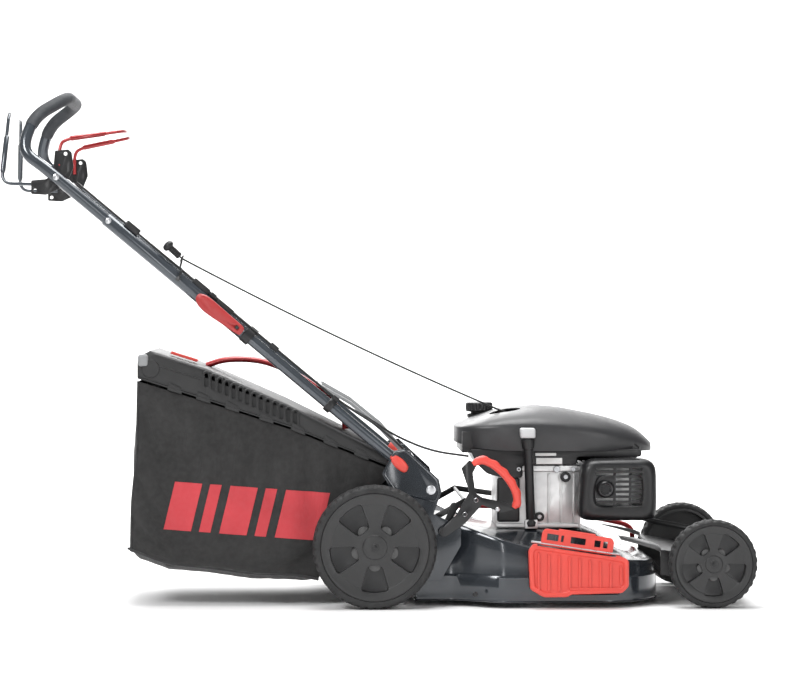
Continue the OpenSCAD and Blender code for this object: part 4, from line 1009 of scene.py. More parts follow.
def make_upper_handle(materials):
    paint = materials["tube_paint"]
    parts = [tube("loop", loop_route(), 13.3, paint, 32)]
    for side in SIDES.values():
        y = side * TUBE_Y
        profile = [(12.9, 0), (15.1, 0), (15.5, 0.8), (15.5, 417.5), (15.1, 419), (13.5, 419.4)]
        parts.append(lathe("sleeve", on_tube(537, 0, y), TUBE_DIR, profile, paint, 40))
        parts.append(lathe("collar", on_tube(531, 0, y), TUBE_DIR,
                           [(13, 0), (16.6, 0), (17.4, 1), (17.4, 21), (16.6, 22), (13, 22)],
                           materials["black_plastic"], 40))
        for t, r in ((948, 7), (1101, 7.6)):
            parts.append(lathe("bolt", on_tube(t, 0, side * (TUBE_Y + 10)), (0, side, 0),
                               [(r - 1, 0), (r, 3), (r, 6), (r * 0.9, 8), (r * 0.5, 9), (0, 9.2)],
                               materials["bright_steel"], 28))
        parts.append(lathe("bail_pin", on_tube(1101, 0, side * 187), (0, side, 0),
                           [(7, 0), (7, 2.6), (4, 3), (4, 16)], materials["bright_steel"], 24))
        parts.append(lathe("clamp_pin", on_tube(572, 1, side * (TUBE_Y + 14)), (0, side, 0),
                           [(2.9, 0), (2.9, 17), (5.5, 17.2), (5.5, 19), (4.5, 20), (0, 20)],
                           materials["black_paint"], 4))
    finish_piece(joined("handle_loop", parts), "upper_handle", "tube_paint", "upper_handle")
    route = loop_route()
    inside = [p for p in route if p.z > at(0, 0, 1085).z]
    count = len(inside)
    radii = [13.8 if i in (0, count - 1) else 14.6 for i in range(count)]
    grip = tube("soft_grip", inside, 14.6, materials["grip_rubber"], 36, radii=radii)
    finish_piece(grip, "upper_handle", "grip_rubber", "handle_grip")


def make_clamp_lever(name, side, materials):
    """Long red cam lever: a rounded thumb end, a swelling over the tube, a bore for its pivot and a grip pad.
    """
    profile = [(556, -7, 6), (559, -10, 11), (575, -12, 12.5), (600, -14.5, 12.5), (630, -18, 13.5),
               (655, -19.5, 14), (673, -17, 12.5), (683, -11, 8), (687, -5, 3)]
    outline = soft_outline([(t, low) for t, low, _ in profile]
                           + [(t, high) for t, _, high in reversed(profile)], 6, 3)
    y0 = TUBE_Y + 18
    rings = []
    for out, shrink in ((0.4, 0.93), (2, 1.0), (9, 1.0), (12, 0.92), (13, 0.72)):
        rings.append([on_tube(622 + (t - 622) * (shrink if shrink > 0.9 else 0.9), n * shrink,
                              side * (y0 + out)) for t, n in outline])
    lever = rings_mesh(name + "_body", rings, materials["red_dark"], crease_angle=50)
    bore = lathe("bore", on_tube(572, 1, side * (y0 - 4)), (0, side, 0), [(3.4, 0), (3.4, 30)], None, 24)
    cut(lever, [bore])
    finish_piece(lever, name, "red_plastic", name)
    mark = tube_box(name + "_grip_pad", 640, 672, -7, 5, side * (y0 + 12), side * (y0 + 13.2),
                    materials["red_dark"], 0.6)
    finish_piece(mark, name, "red_plastic")


def bail_route(half):
    one = [at(x, -y, z) for x, y, z in half]
    two = [at(x, y, z) for x, y, z in reversed(half)]
    return rounded_route(one + two, 26, 9)


def bail_plate(name, outline, y, side, hole, material):
    low = y if side > 0 else -y - 2.5
    piece = plate(name, soft_outline(outline, 3, 4), low, low + 2.5, material)
    bores = [lathe("bore", on_tube(1101, 0, low - 5), (0, 1, 0), [(4.3, 0), (4.3, 15)], None, 24),
             lathe("bore", at(hole[0], low - 5, hole[1]), (0, 1, 0), [(4, 0), (4, 15)], None, 24)]
    cut(piece, bores)
    return bevelled(piece, 0.3, 2, 60)


def bail_sleeve(name, low, high, radius, material):
    """Sleeve on a bail's upright, with tapered ends."""
    taper = (high - low) * 0.05
    return tube(name, [low, low + taper, high - taper, high], radius, material, 16,
                radii=[4.5, radius, radius, 4.5])


def make_bails(materials):
    brake_outline = [(-776, 967), (-776, 936), (-742, 934), (-704, 952), (-701, 978), (-724, 984),
                     (-742, 970)]
    drive_outline = [(-722, 1034), (-692, 1037), (-684, 1030), (-680, 996), (-694, 962), (-724, 958),
                     (-727, 980)]
    brake = [(-752, 188.5, 958), (-843, 188.5, 960), (-833, 122, 1126)]
    drive = [(-712, 193.5, 1000), (-712, 188, 1050), (-694, 178, 1062), (-570, 122, 1084)]
    parts = [tube("brake_rod", bail_route(brake), 4, materials["tube_paint"], 16)]
    for side in SIDES.values():
        parts.append(bail_plate("brake_plate", brake_outline, 190.5, side, (-767, 944),
                                materials["black_paint"]))
        parts.append(bail_sleeve("brake_sleeve", at(-841.5, side * 180, 985), at(-836, side * 145, 1070),
                                 6.2, materials["tube_paint"]))
    finish_piece(joined("brake_bail_assembly", parts), "brake_bail", "tube_paint", "brake_bail")
    parts = [tube("drive_rod", bail_route(drive), 4, materials["red_paint_bright"], 16)]
    for side in SIDES.values():
        parts.append(bail_plate("drive_plate", drive_outline, 194.5, side, (-698, 1027),
                                materials["black_paint"]))
        parts.append(bail_sleeve("drive_sleeve", at(-690, side * 176, 1062.7),
                                 at(-612, side * 141, 1076.5), 6, materials["red_paint"]))
    finish_piece(joined("drive_bail_assembly", parts), "drive_bail", "red_paint", "drive_bail")


CABLE_Y = -TUBE_Y + 7
CABLE_R = 2.6
ROPE_HOLE = at(311, -60, 434)
ROPE_EYE = at(-435, -207, 790)
ROPE_STEPS = 60
ROPE_SPLIT = 18
ROPE_R = 2.2
ROPE_END_R = 2.0
ROPE_SAG = 10 * MM
PULL = Vector((-30, -4, 28)).normalized()


def resampled(route, step):
    points = [route[0]]
    for a, b in zip(route, route[1:]):
        count = max(1, math.ceil((b - a).length / (step * MM)))
        points += [a.lerp(b, k / count) for k in range(1, count + 1)]
    return points


def nearest_index(route, point):
    return min(range(len(route)), key=lambda k: (route[k] - point).length)


def bending_cord(name, route, radius, material, replaced=()):
    """One run of a cord, with its placement baked into its mesh."""
    piece = tube(name, route, radius, material, 12)
    if replaced:
        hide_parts(*replaced)
    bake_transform(piece)
    return piece


def make_cable(name, points, root_point, materials):
    """A sheathed cable clipped to the upper handle, with separate runs beside the sleeve and beside the fold.
    """
    route = resampled(rounded_route(points, 60, 10), 12)
    first, second = (nearest_index(route, on_tube(t, 20, CABLE_Y)) for t in (462, 280))
    third = nearest_index(route, root_point)
    sheath = materials["cable_sheath"]
    upper = tube(name + "_upper", route[:first + 1], CABLE_R, sheath, 12)
    finish_piece(upper, "upper_handle", "cable_sheath", name)
    bending_cord(name + "_middle", route[first:second + 1], CABLE_R, sheath)
    bending_cord(name + "_lower", route[second:third + 1], CABLE_R, sheath)
    if third < len(route) - 1:
        finish_piece(tube(name + "_end", route[third:], CABLE_R, sheath, 12), "root", "cable_sheath")


def make_cords(materials):
    """Bowden cables along the right handle tube, and the taut starter rope."""
    brake = [on_tube(t, 20, CABLE_Y + 4) for t in (1060, 640, 280)]
    brake += [at(-10, CABLE_Y + 16, 426), at(45, CABLE_Y + 28, 388), at(130, -166, 351),
              at(218, -150, 338)]
    drive = [on_tube(t, 20, CABLE_Y - 4) for t in (1050, 640, 280)]
    drive += [at(10, CABLE_Y, 410), at(76, -196, 350), at(110, -182, 300), at(82, -176, 200),
              at(80, -168, 140), at(76, -110, 118), at(72, -39.5, 118)]
    make_cable("brake_cable", brake, brake[-1], materials)
    make_cable("drive_cable", drive, drive[5], materials)
    points = []
    for k in range(ROPE_STEPS + 1):
        share = k / ROPE_STEPS
        drop = 4 * ROPE_SAG * share * (1 - share)
        points.append(ROPE_EYE.lerp(ROPE_HOLE, share) - Vector((0, 0, drop)))
    rope = materials["rope"]
    bending_cord("starter_rope_rear", points[:ROPE_SPLIT + 1], ROPE_R, rope)
    bending_cord("starter_rope_front", points[ROPE_SPLIT:], ROPE_R, rope,
                 ["starter_rope"])
    bending_cord("starter_rope_end", [ROPE_EYE + PULL * MM * k for k in (7, 5, 3, 1, 0)], ROPE_END_R, rope)


def make_cable_fittings(materials):
    black = materials["black_plastic"]
    parts = []
    for t, y in ((664, CABLE_Y + 4), (640, CABLE_Y - 4)):
        parts.append(lathe("adjuster", on_tube(t, 20, y), TUBE_DIR,
                           [(2.7, 0), (5, 1), (5, 12), (7, 13), (7, 26), (5, 27), (5, 44), (3.4, 50),
                            (2.7, 50)], black, 24))
    parts.append(tube_box("switch_block", 878, 916, 14, 30, -TUBE_Y - 10, -TUBE_Y + 11, black, 3))
    parts.append(tube_box("clip_a", 672, 716, 14, 27, -TUBE_Y - 3, -TUBE_Y + 13, black, 2))
    parts.append(tube_box("clip_b", 600, 645, 14, 25, -TUBE_Y - 3, -TUBE_Y + 13, black, 2))
    parts.append(tube_box("clip_c", 468, 490, 14, 26, -TUBE_Y - 1, -TUBE_Y + 14, black, 2))
    finish_piece(joined("cable_fittings", parts), "upper_handle", "black_plastic", "cable_clips")


def make_rope_guide(materials):
    foot = on_tube(744, 0, -TUBE_Y - 19)
    route = rounded_route([foot, foot + Vector((10, -2, 22)) * MM, ROPE_EYE + Vector((-4, -14, -22)) * MM,
                           ROPE_EYE + Vector((0, -6.5, -4)) * MM], 8, 8)
    wire = tube("guide_wire", route, 2.5, materials["black_paint"], 14)
    ring = []
    for k in range(40):
        a = 2 * math.pi * k / 40
        spoke = Vector((0.42, 0, 0.91)) * math.cos(a) + Vector((0, 1, 0)) * math.sin(a)
        ring.append(ROPE_EYE + spoke * 6.5 * MM)
    rings = []
    normal = Vector((0.91, 0, -0.42))
    for k, p in enumerate(ring):
        out = (p - ROPE_EYE).normalized()
        rings.append([p + (out * math.cos(t) + normal * math.sin(t)) * 2.1 * MM
                      for t in (2 * math.pi * j / 12 for j in range(12))])
    loop = rings_mesh("guide_ring", rings, materials["black_paint"], closed=True)
    foot_bolt = lathe("guide_bolt", on_tube(744, 0, -TUBE_Y - 13), (0, -1, 0),
                      [(5, 0), (5, 9), (4, 10), (0, 10)], materials["black_paint"], 20)
    finish_piece(joined("rope_guide_wire", [wire, loop, foot_bolt]), "upper_handle", "bright_steel",
                 "rope_guide")


def make_starter_grip(materials):
    profile = [(2, 6), (6, 6.5), (7.5, 9)]
    for k in range(6):
        profile += [(8.3, 10 + k * 4), (8.3, 12.2 + k * 4), (7.2, 12.8 + k * 4), (7.2, 13.6 + k * 4)]
    profile += [(8, 35), (11.5, 37), (13, 39.5), (13, 44), (11.5, 47.5), (8, 50), (3, 51), (0, 51.2)]
    grip = lathe("pull_grip", ROPE_EYE, PULL, profile, materials["black_plastic"], 36, 50)
    finish_piece(grip, "starter", "black_plastic", "starter_grip")


def make_height_lever(materials):
    refined("height_lever", "height_lever", materials["black_paint"], 0.9, 3)
    bolts = [lathe("lever_bolt", at(x, -245.8, z), (0, -1, 0), [(5.2, 0), (5.2, 1.4), (3.6, 2.8), (0, 3)],
                   materials["bright_steel"], 20) for x, z in ((229, 244), (204, 212), (278, 223))]
    finish_piece(joined("lever_bolts", bolts), "height_lever", "bright_steel")
    line = [(222, 325), (240, 337), (268, 326), (297, 301), (318, 270), (325, 241), (315, 226)]
    route = rounded_route([at(x, -243.5, z) for x, z in line], 16, 8)
    lengths = [0.0]
    for a, b in zip(route, route[1:]):
        lengths.append(lengths[-1] + (b - a).length)
    rings = []
    for (point, (d, a, b)), s in zip(zip(route, route_frames(route)), lengths):
        end = min(s, lengths[-1] - s) / MM
        full = min(1.0, 0.55 + 0.45 * math.sqrt(max(0.0, min(1, end / 6))))
        side_dir = Vector((0, 1, 0))
        in_plane = d.cross(side_dir).normalized()
        wave = 1.3 * math.cos(2 * math.pi * s / MM / 27)
        ring = []
        for k in range(24):
            t = 2 * math.pi * k / 24
            u, v = math.cos(t), math.sin(t)
            swell = wave * max(0, u)
            ring.append(point + in_plane * (u * (9.6 + swell) * full) * MM + side_dir * (v * 9.2 * full) * MM)
        rings.append(ring)
    grip = rings_mesh("lever_grip", rings, materials["red_plastic"], crease_angle=60)
    finish_piece(grip, "height_lever", "red_plastic", "height_grip")


def make_brackets(materials):
    """Steel side brackets: a plate with an embossed rim."""
    refined("handle_brackets", "root", materials["deck_paint"], 0.9, 3)
    for side in SIDES.values():
        rim = soft_outline([(22, 303), (46, 350), (70, 355), (141, 288), (146, 262), (138, 240),
                            (50, 262)], 8, 4)
        y = side * 231.5
        route = [at(x, y, z) for x, z in rim] + [at(rim[0][0], y, rim[0][1])]
        bead = tube("bracket_bead", route, 2.6, materials["deck_paint"], 10)
        finish_piece(bead, "root", "deck_paint")
        bolt = lathe("pivot_bolt", at(FOLD_X, side * 232, FOLD_Z), (0, side, 0),
                     [(10.5, 0), (10.5, 1.6), (8.6, 2.2), (8.6, 5), (7.6, 6.8), (3, 7.4), (0, 7.2)],
                     materials["bright_steel"], 32)
        finish_piece(bolt, "root", "bright_steel")


def make_side_rail(materials):
    rail = [(205, 210, 172), (205, 236, 196), (400, 236, 190), (566, 236, 162), (640, 228, 146),
            (640, 206, 112)]
    route = rounded_route([at(*p) for p in rail], 30, 8)
    piece = tube("carry_rail", route, 6, materials["red_paint"], 20)
    finish_piece(piece, "root", "red_paint", "side_rail")


# ---------------------------------------------------------------- front, chute and flap

FLAP_HINGE = (352, -270, 152)
FLAP_SLOPE = math.radians(8.5)


def on_flap_hinge(u, y, w):
    """Point u mm along the side flap's hinge rod, at y, and w mm above it."""
    c, s = math.cos(FLAP_SLOPE), math.sin(FLAP_SLOPE)
    return at(FLAP_HINGE[0] + c * u + s * w, y, FLAP_HINGE[2] - s * u + c * w)


def hinge_box(name, u0, u1, y0, y1, w0, w1, material, bevel=0):
    rings = [[on_flap_hinge(u, y, w) for y, w in ((y0, w0), (y1, w0), (y1, w1), (y0, w1))] for u in (u0, u1)]
    piece = rings_mesh(name, rings, material)
    return bevelled(piece, bevel, 3) if bevel else piece


def shrunk(outline, inset):
    """Side-view outline moved inwards by inset mm."""
    count = len(outline)
    area = sum(outline[i - 1][0] * outline[i][1] - outline[i][0] * outline[i - 1][1] for i in range(count))
    turn = 1 if area > 0 else -1
    result = []
    for i in range(count):
        p = Vector(outline[i])
        a = (p - Vector(outline[i - 1])).normalized()
        b = (Vector(outline[(i + 1) % count]) - p).normalized()
        na, nb = Vector((-a.y, a.x)) * turn, Vector((-b.y, b.x)) * turn
        mid = na + nb
        mid = mid / max(0.35, mid.dot(na)) if mid.length > 1e-6 else na
        result.append(tuple(p + mid * inset))
    return result


def make_side_flap(materials):
    """Discharge flap: a moulded rim round a ribbed panel, deeper along its rear half."""
    red = materials["red_plastic"]
    outline = [(356, 148), (400, 141.5), (480, 129.5), (557, 118), (572, 110), (572, 80), (572, 51),
               (557, 36), (500, 34.5), (441, 33), (434, 27.5), (380, 27), (349, 45), (345, 132)]
    rings = []
    for y, inset in ((-270, 0), (-281, 0), (-284.5, 1.2), (-286, 4), (-286, 8), (-285.0, 10), (-281.4, 12.5)):
        rings.append([at(x, y, z) for x, z in soft_outline(shrunk(outline, inset), 6, 4)])
    flap = rings_mesh("flap_body", rings, red, crease_angle=40)
    hollow = [[at(x, y, z) for x, z in soft_outline(shrunk(outline, 6), 6, 4)] for y in (-260, -279)]
    notch = hinge_box("notch", 14, 194, -300, -262, -7, 40, None)
    rod_way = tube("rod_way", [on_flap_hinge(-20, -270, 0), on_flap_hinge(240, -270, 0)], 3.4, None, 20)
    cut(flap, [rings_mesh("hollow", hollow, None), notch])
    parts = [flap]
    for u in (2, 196):
        knuckle = tube("knuckle", [on_flap_hinge(u, -270, 0), on_flap_hinge(u + 7, -270, 0)], 6, red, 28)
        parts.append(knuckle)
        parts.append(hinge_box("knuckle_web", u, u + 7, -276, -264, -16, -2, red, 1))
    body = joined("side_flap_shell", parts)
    cut(body, [rod_way])
    shade(body.data, 38)
    finish_piece(body, "side_flap", "red_plastic", "side_flap")
    ribs = []
    for k in range(9):
        x = 368 + k * 23.2
        top = 145 - (x - 356) * 0.149 - 15
        bottom = 43 if x < 436 else 49
        if x > 552:
            bottom, top = 56, top - 4
        ribs.append(bevelled(block("rib", (x - 2.6, -285.2, bottom), (x + 2.6, -280, top), red), 1.2, 3))
    step = bevelled(block("rib", (438, -285.2, 44), (562, -281, 49), red), 1.5, 3)
    finish_piece(joined("side_flap_ribs", ribs + [step]), "side_flap", "red_plastic")


def make_flap_bracket(materials):
    red = materials["red_plastic"]
    rings = []
    for y, grow in ((-265.5, -1.5), (-266.5, 0), (-271.5, 0), (-272.5, -1.2)):
        g = -grow
        outline = soft_outline([(22 + g, -4), (186 - g, -4), (186 - g, 26), (180, 34 - g), (28, 34 - g),
                                (22 + g, 26)], 5, 4)
        rings.append([on_flap_hinge(u, y, w) for u, w in outline])
    frame_piece = rings_mesh("flap_frame", rings, red)
    cutters = []
    for u0, u1 in ((34, 60), (66, 72), (88, 122), (142, 156), (162, 172)):
        cutters.append(hinge_box("window", u0, u1, -280, -260, 9, 24, None))
    cut(frame_piece, cutters)
    shelf = []
    for u in (22, 186):
        shelf.append([on_flap_hinge(u, y, w) for y, w in ((-268, -4), (-238, -4), (-238, -0.5), (-264, 1),
                                                          (-268, 8))])
    shelf = rings_mesh("flap_shelf", shelf, red)
    step = hinge_box("flap_step", 58, 142, -271.6, -266, 33, 37.5, red, 1.4)
    bevelled(frame_piece, 0.8, 2)
    bevelled(shelf, 0.8, 2)
    body = joined("flap_frame_body", [frame_piece, shelf, step])
    finish_piece(body, "root", "red_plastic", "flap_bracket")
    ends = [on_flap_hinge(0, -270, 0), on_flap_hinge(0.8, -270, 0), on_flap_hinge(204, -270, 0),
            on_flap_hinge(205, -270, 0)]
    rod = tube("flap_hinge_rod", ends, 3, materials["bright_steel"], 20, radii=[2.2, 3, 3, 2.2])
    finish_piece(rod, "root", "bright_steel")


def make_front(materials):
    """Housing over the front axle, with a pale trim across its shoulders."""
    refined("front_housing", "root", materials["black_plastic"], 4, 4, 25)
    for side in SIDES.values():
        rings = []
        for x, y_in, y_out, z_low, z_high in ((562, 150, 209, 150, 153), (600, 150, 210, 140, 147),
                                              (640, 160, 208.5, 128, 138), (654, 166, 207, 122, 132)):
            rings.append([at(x, side * y, z) for y, z in ((y_in, z_low + 4), (y_out, z_low),
                                                          (y_out, z_high - 3), (y_out - 6, z_high),
                                                          (y_in, z_high + 3))])
        cap = rings_mesh("shoulder_trim", rings, materials["trim"], crease_angle=40)
        bevelled(cap, 1.2, 3)
        finish_piece(cap, "root", materials["trim"])


def make_chute(materials):
    refined("rear_chute", "root", materials["deck_paint"], 1.0, 2)
    refined("rear_door", "rear_door", materials["grey_plastic"], 1.6, 3)
    outline = [(60, 358.5), (22, 402.4), (-50, 462.4), (-118, 501), (-118, 504.5), (-50, 466), (24, 406),
               (63, 361)]
    for y in (-96, 0, 96):
        rib = plate("door_rib", outline, y - 3, y + 3, materials["grey_plastic"])
        bevelled(rib, 0.8, 2)
        finish_piece(rib, "rear_door", "grey_plastic")


# ---------------------------------------------------------------- catcher

BAG_OUTLINE = [(-536, 512), (-540, 340), (-551, 238), (-553, 128), (-466, 96), (-380, 88), (-282, 74),
               (-180, 71), (-126, 60), (-92, 168), (52, 310), (36, 311), (-190, 402), (-380, 464)]
BAG_CLOSED_EDGES = 9     # from the rear's top to the foot of the mouth
BAG_HALF_W = 188.5
HANDLE_LINE = [(-388, 0, 544), (-340, 0, 560), (-250, 0, 556), (-150, 0, 508), (-66, 0, 432), (-62, 0, 394)]


def height_along(stops, x):
    """Height at x on straight lines through [x, height] stops."""
    for (x0, z0), (x1, z1) in zip(stops, stops[1:]):
        if x <= x1:
            return z0 + (z1 - z0) * (x - x0) / (x1 - x0)
    return stops[-1][1]


def lid_line(x):
    """Height of the lid's lower edge along its side."""
    return height_along([(-538, 520), (-380, 470), (-190, 408), (40, 316)], x)


def lid_top(x):
    """Height of the lid's roof."""
    return height_along([(-538, 556), (-534, 568), (-508, 583), (-380, 542), (-200, 462), (61, 332)], x)


LOUVRES = [(-381 + k * 15.5, 526 - k * 6.75) for k in range(14)]


def make_lid(materials):
    """Moulded lid: rounded roof, side walls with louvres and clips that hold the bag's hem."""
    plastic = materials["lid_plastic"]
    half = 193
    stations = [-537, -534, -522, -508, -490, -460, -420, -380, -330, -270, -200, -130, -60, 0, 40, 58]
    rings = []
    for x in stations:
        top, low = lid_top(x), min(lid_line(x), lid_top(x) - 8)
        crown = 0 if x > 40 or x < -530 else -1.0
        ring = [(-half, low), (-half, top - 14), (-half + 2, top - 7), (-half + 7, top - 2.5),
                (-half + 16, top - 1), (-120, top - 0.6 + crown), (-60, top + crown), (0, top + crown)]
        ring += [(-y, z) for y, z in reversed(ring[:-1])]
        rings.append([at(x, y, z) for y, z in ring])
    lid = rings_mesh("lid_shell", rings, plastic, crease_angle=40, open_rings=True)
    modified(lid, "SOLIDIFY", thickness=3.0 * MM, offset=-1)
    cutters = []
    for x, top in LOUVRES:
        outline = soft_outline([(x - 4.2, top - 27), (x + 4.2, top - 27), (x + 4.2, top + 2), (x, top + 5),
                                (x - 4.2, top + 2)], 3, 3)
        cutters.append(rings_mesh("slot", [[at(a, yy, b) for a, b in outline] for yy in (-220, 220)], None))
    cut(lid, cutters)
    bevelled(lid, 0.9, 2, 38)
    finish_piece(lid, "catcher", "lid_plastic", "catcher_lid")
    details = []
    for side in SIDES.values():
        wall = side * half
        for x, top in LOUVRES:                  # hoods over the louvres
            arch = [at(x + 6.2 * math.cos(a), wall + side * 1.5, top + 3 + 5 * math.sin(a))
                    for a in (math.pi * j / 8 for j in range(9))]
            details.append(tube("hood", arch, 2.1, plastic, 8))
            rib = bevelled(block("louvre_rib", (x + 6.2, wall - 2.2, top - 28),
                                 (x + 9.2, wall + 2.2, top + 4), plastic), 0.8)
            details.append(rib)
        for x0 in (-470, -405, -340, -262, -190, -116, -46):   # clips over the bag's hem
            low0, low1 = lid_line(x0), lid_line(x0 + 34)
            outline = [(x0, low0 - 6), (x0 + 34, low1 - 6), (x0 + 32, low1 + 9), (x0 + 5, low0 + 11)]
            y0, y1 = sorted((wall - side * 2, wall + side * 2.2))
            details.append(bevelled(plate("clip", soft_outline(outline, 3), y0, y1, plastic), 1.0))
        edge = [at(x, wall + side * 0.4, lid_line(x) + 1) for x in (-536, -500, -440, -380, -300, -190,
                -80, 38)]
        details.append(tube("hem_lip", edge, 2.4, plastic, 10))
        crease = [at(x, wall + side * 0.3, lid_top(x) - 30) for x in (-500, -440, -392)]
        details.append(tube("lid_crease", crease, 2.0, plastic, 10))
        cup = lathe("corner_cup", at(-507, wall + side * 0.2, 540), (0, side, 0),
                    [(0, -3), (19, -3), (21, 0), (19, 1.8), (13, 2.4), (0, 1.2)], plastic, 32)
        details.append(cup)
    finish_piece(joined("lid_details", details), "catcher", "lid_plastic")
    # painted shade: thin black sheets just inside the side walls, behind the louvres, so the slots read dark
    louvre_shade_sheets = []
    for side in SIDES.values():
        y0, y1 = sorted((side * 180, side * 182))
        louvre_shade_sheets.append(plate("liner", [(-395, 524), (-395, 486), (-150, 398), (-150, 428)], y0, y1,
                            materials["black_plastic"]))
    finish_piece(joined("louvre_shade_sheet", louvre_shade_sheets), "catcher", "black_plastic")
    corner = []
    for y in (-176, -60, 60, 176):
        corner.append(bevelled(block("corner", (-536, y - 22, 545), (-512, y + 22, 573),
                                     materials["grey_plastic"]), 7, 4))
    finish_piece(joined("lid_corner_trim", corner), "catcher", "grey_plastic")


def bag_sheet(materials):
    """Sewn shell of the bag: two sides and a strip round the rear and bottom, open at the top and front."""
    outline = BAG_OUTLINE
    form = bmesh.new()
    loops = []
    for y in (-BAG_HALF_W, BAG_HALF_W):
        loops.append([form.verts.new(at(x, y, z)) for x, z in outline])
    form.faces.new(loops[0])
    form.faces.new(list(reversed(loops[1])))
    for i in range(BAG_CLOSED_EDGES):
        form.faces.new((loops[0][i], loops[1][i], loops[1][i + 1], loops[0][i + 1]))
    step = 12
    for k in range(1, 52):
        bisect(form, (AXLE_X + (-553 + k * step) * MM, 0, 0), (1, 0, 0))
    for k in range(42):
        bisect(form, (0, 0, (58 + k * step) * MM), (0, 0, 1))
    for k in range(-15, 16):
        bisect(form, (0, k * step * MM, 0), (0, 1, 0))
    bmesh.ops.remove_doubles(form, verts=form.verts, dist=0.0006)
    bmesh.ops.recalc_face_normals(form, faces=form.faces)
    mesh = bpy.data.meshes.new("bag_cloth")
    form.to_mesh(mesh)
    form.free()
    return new_object("bag_cloth", mesh, materials["bag_fabric"], True, 60)


def bisect(form, place, normal):
    bmesh.ops.bisect_plane(form, geom=form.verts[:] + form.edges[:] + form.faces[:], plane_co=place,
                           plane_no=normal)


def segment_distance(p, a, b):
    """Distance in the side view from p to the segment a-b."""
    ab = (b[0] - a[0], b[1] - a[1])
    length = ab[0] ** 2 + ab[1] ** 2
    t = max(0, min(1, ((p[0] - a[0]) * ab[0] + (p[1] - a[1]) * ab[1]) / length))
    return math.hypot(p[0] - a[0] - ab[0] * t, p[1] - a[1] - ab[1] * t), t


# folds in the bag's sides: start, end, width and how far the cloth stands in (-) or out (+), in mm
FOLDS = [((-528, 500), (-400, 300), 16, -5), ((-500, 470), (-300, 330), 20, 4.5),
         ((-520, 430), (-455, 220), 14, -4), ((-400, 230), (-250, 110), 16, 3),
         ((-470, 300), (-345, 190), 22, 4), ((-300, 170), (-200, 90), 13, -4),
         ((-350, 130), (-160, 150), 14, 3.5), ((-545, 330), (-520, 130), 12, 3),
         ((-515, 500), (-515, 330), 9, -3), ((-380, 400), (-250, 260), 24, -3),
         ((-240, 330), (-110, 260), 20, 2.5), ((-480, 120), (-380, 170), 14, -3)]


def fold_offset(x, z, mirror):
    total = 0
    for (a, b, width, height) in FOLDS:
        if mirror:
            a, b = (a[0] + 12, a[1] - 18), (b[0] - 25, b[1] + 14)
        d, t = segment_distance((x, z), a, b)
        total += height * math.exp(-(d / width) ** 2) * (1 - 0.45 * t)
    return total


def edge_ease(x, z):
    """0 on the bag's outline, rising to 1 away from it."""
    near = min(segment_distance((x, z), BAG_OUTLINE[i - 1], BAG_OUTLINE[i])[0]
               for i in range(len(BAG_OUTLINE)))
    return min(1.0, near / 42) ** 0.8


def make_bag(materials):
    """Woven bag hung on a wire frame: cloth simulation first, then the creases it was folded to."""
    bag = bag_sheet(materials)
    pinned = bag.vertex_groups.new(name="frame")
    for vert in bag.data.vertices:
        x, z = (vert.co.x - AXLE_X) / MM, vert.co.z / MM
        on_side = abs(abs(vert.co.y / MM) - BAG_HALF_W) < 0.5
        rim = z > lid_line(max(-536, min(40, x))) - 14
        foot, corner, front_top = (-126, 60), (-92, 168), (52, 310)
        front = (x > -95 and segment_distance((x, z), foot, front_top)[0] < 26
                 or segment_distance((x, z), foot, corner)[0] < 6)
        frame_edge = on_side and min(segment_distance((x, z), BAG_OUTLINE[i], BAG_OUTLINE[i + 1])[0]
                                     for i in range(BAG_CLOSED_EDGES - 1)) < 3
        if rim or front or frame_edge:
            pinned.add([vert.index], 1.0, "REPLACE")
    simulate(bag, pinned.name)
    for vert in bag.data.vertices:
        x, y, z = (vert.co.x - AXLE_X) / MM, vert.co.y / MM, vert.co.z / MM
        if abs(y) > BAG_HALF_W - 22:
            ease = edge_ease(x, z)
            side = 1 if y > 0 else -1
            vert.co.y += side * fold_offset(x, z, side > 0) * ease * MM
    modified(bag, "SOLIDIFY", thickness=1.2 * MM, offset=0)
    modified(bag, "SUBSURF", levels=1, render_levels=1)
    shade(bag.data, 75)
    finish_piece(bag, "catcher", "bag_fabric", "catcher_bag")
    return bag


def simulate(bag, group):
    """Lets the cloth belly out between the frame's wires; no vertex moves further than the cap."""
    before = [v.co.copy() for v in bag.data.vertices]
    made = bag.modifiers.new("cloth", "CLOTH")
    settings = made.settings
    settings.quality = 6
    settings.mass = 0.35
    settings.tension_stiffness = 25
    settings.compression_stiffness = 12
    settings.shear_stiffness = 8
    settings.bending_stiffness = 0.6
    settings.vertex_group_mass = group
    settings.use_pressure = True
    settings.uniform_pressure_force = 1.3
    settings.shrink_min = -0.035
    settings.effector_weights.gravity = 1.0
    made.collision_settings.use_collision = False
    made.collision_settings.use_self_collision = False
    made.point_cache.frame_start, made.point_cache.frame_end = 1, 30
    scene = bpy.context.scene
    for number in range(1, 31):
        scene.frame_set(number)
    graph = bpy.context.evaluated_depsgraph_get()
    mesh = bpy.data.meshes.new_from_object(bag.evaluated_get(graph))
    bag.modifiers.clear()
    cap = 15 * MM
    for vert, old in zip(mesh.vertices, before):
        move = vert.co - old
        if move.length > cap:
            vert.co = old + move * (cap / move.length)
    old_mesh = bag.data
    bag.data = mesh
    bpy.data.meshes.remove(old_mesh)
    scene.frame_set(1)


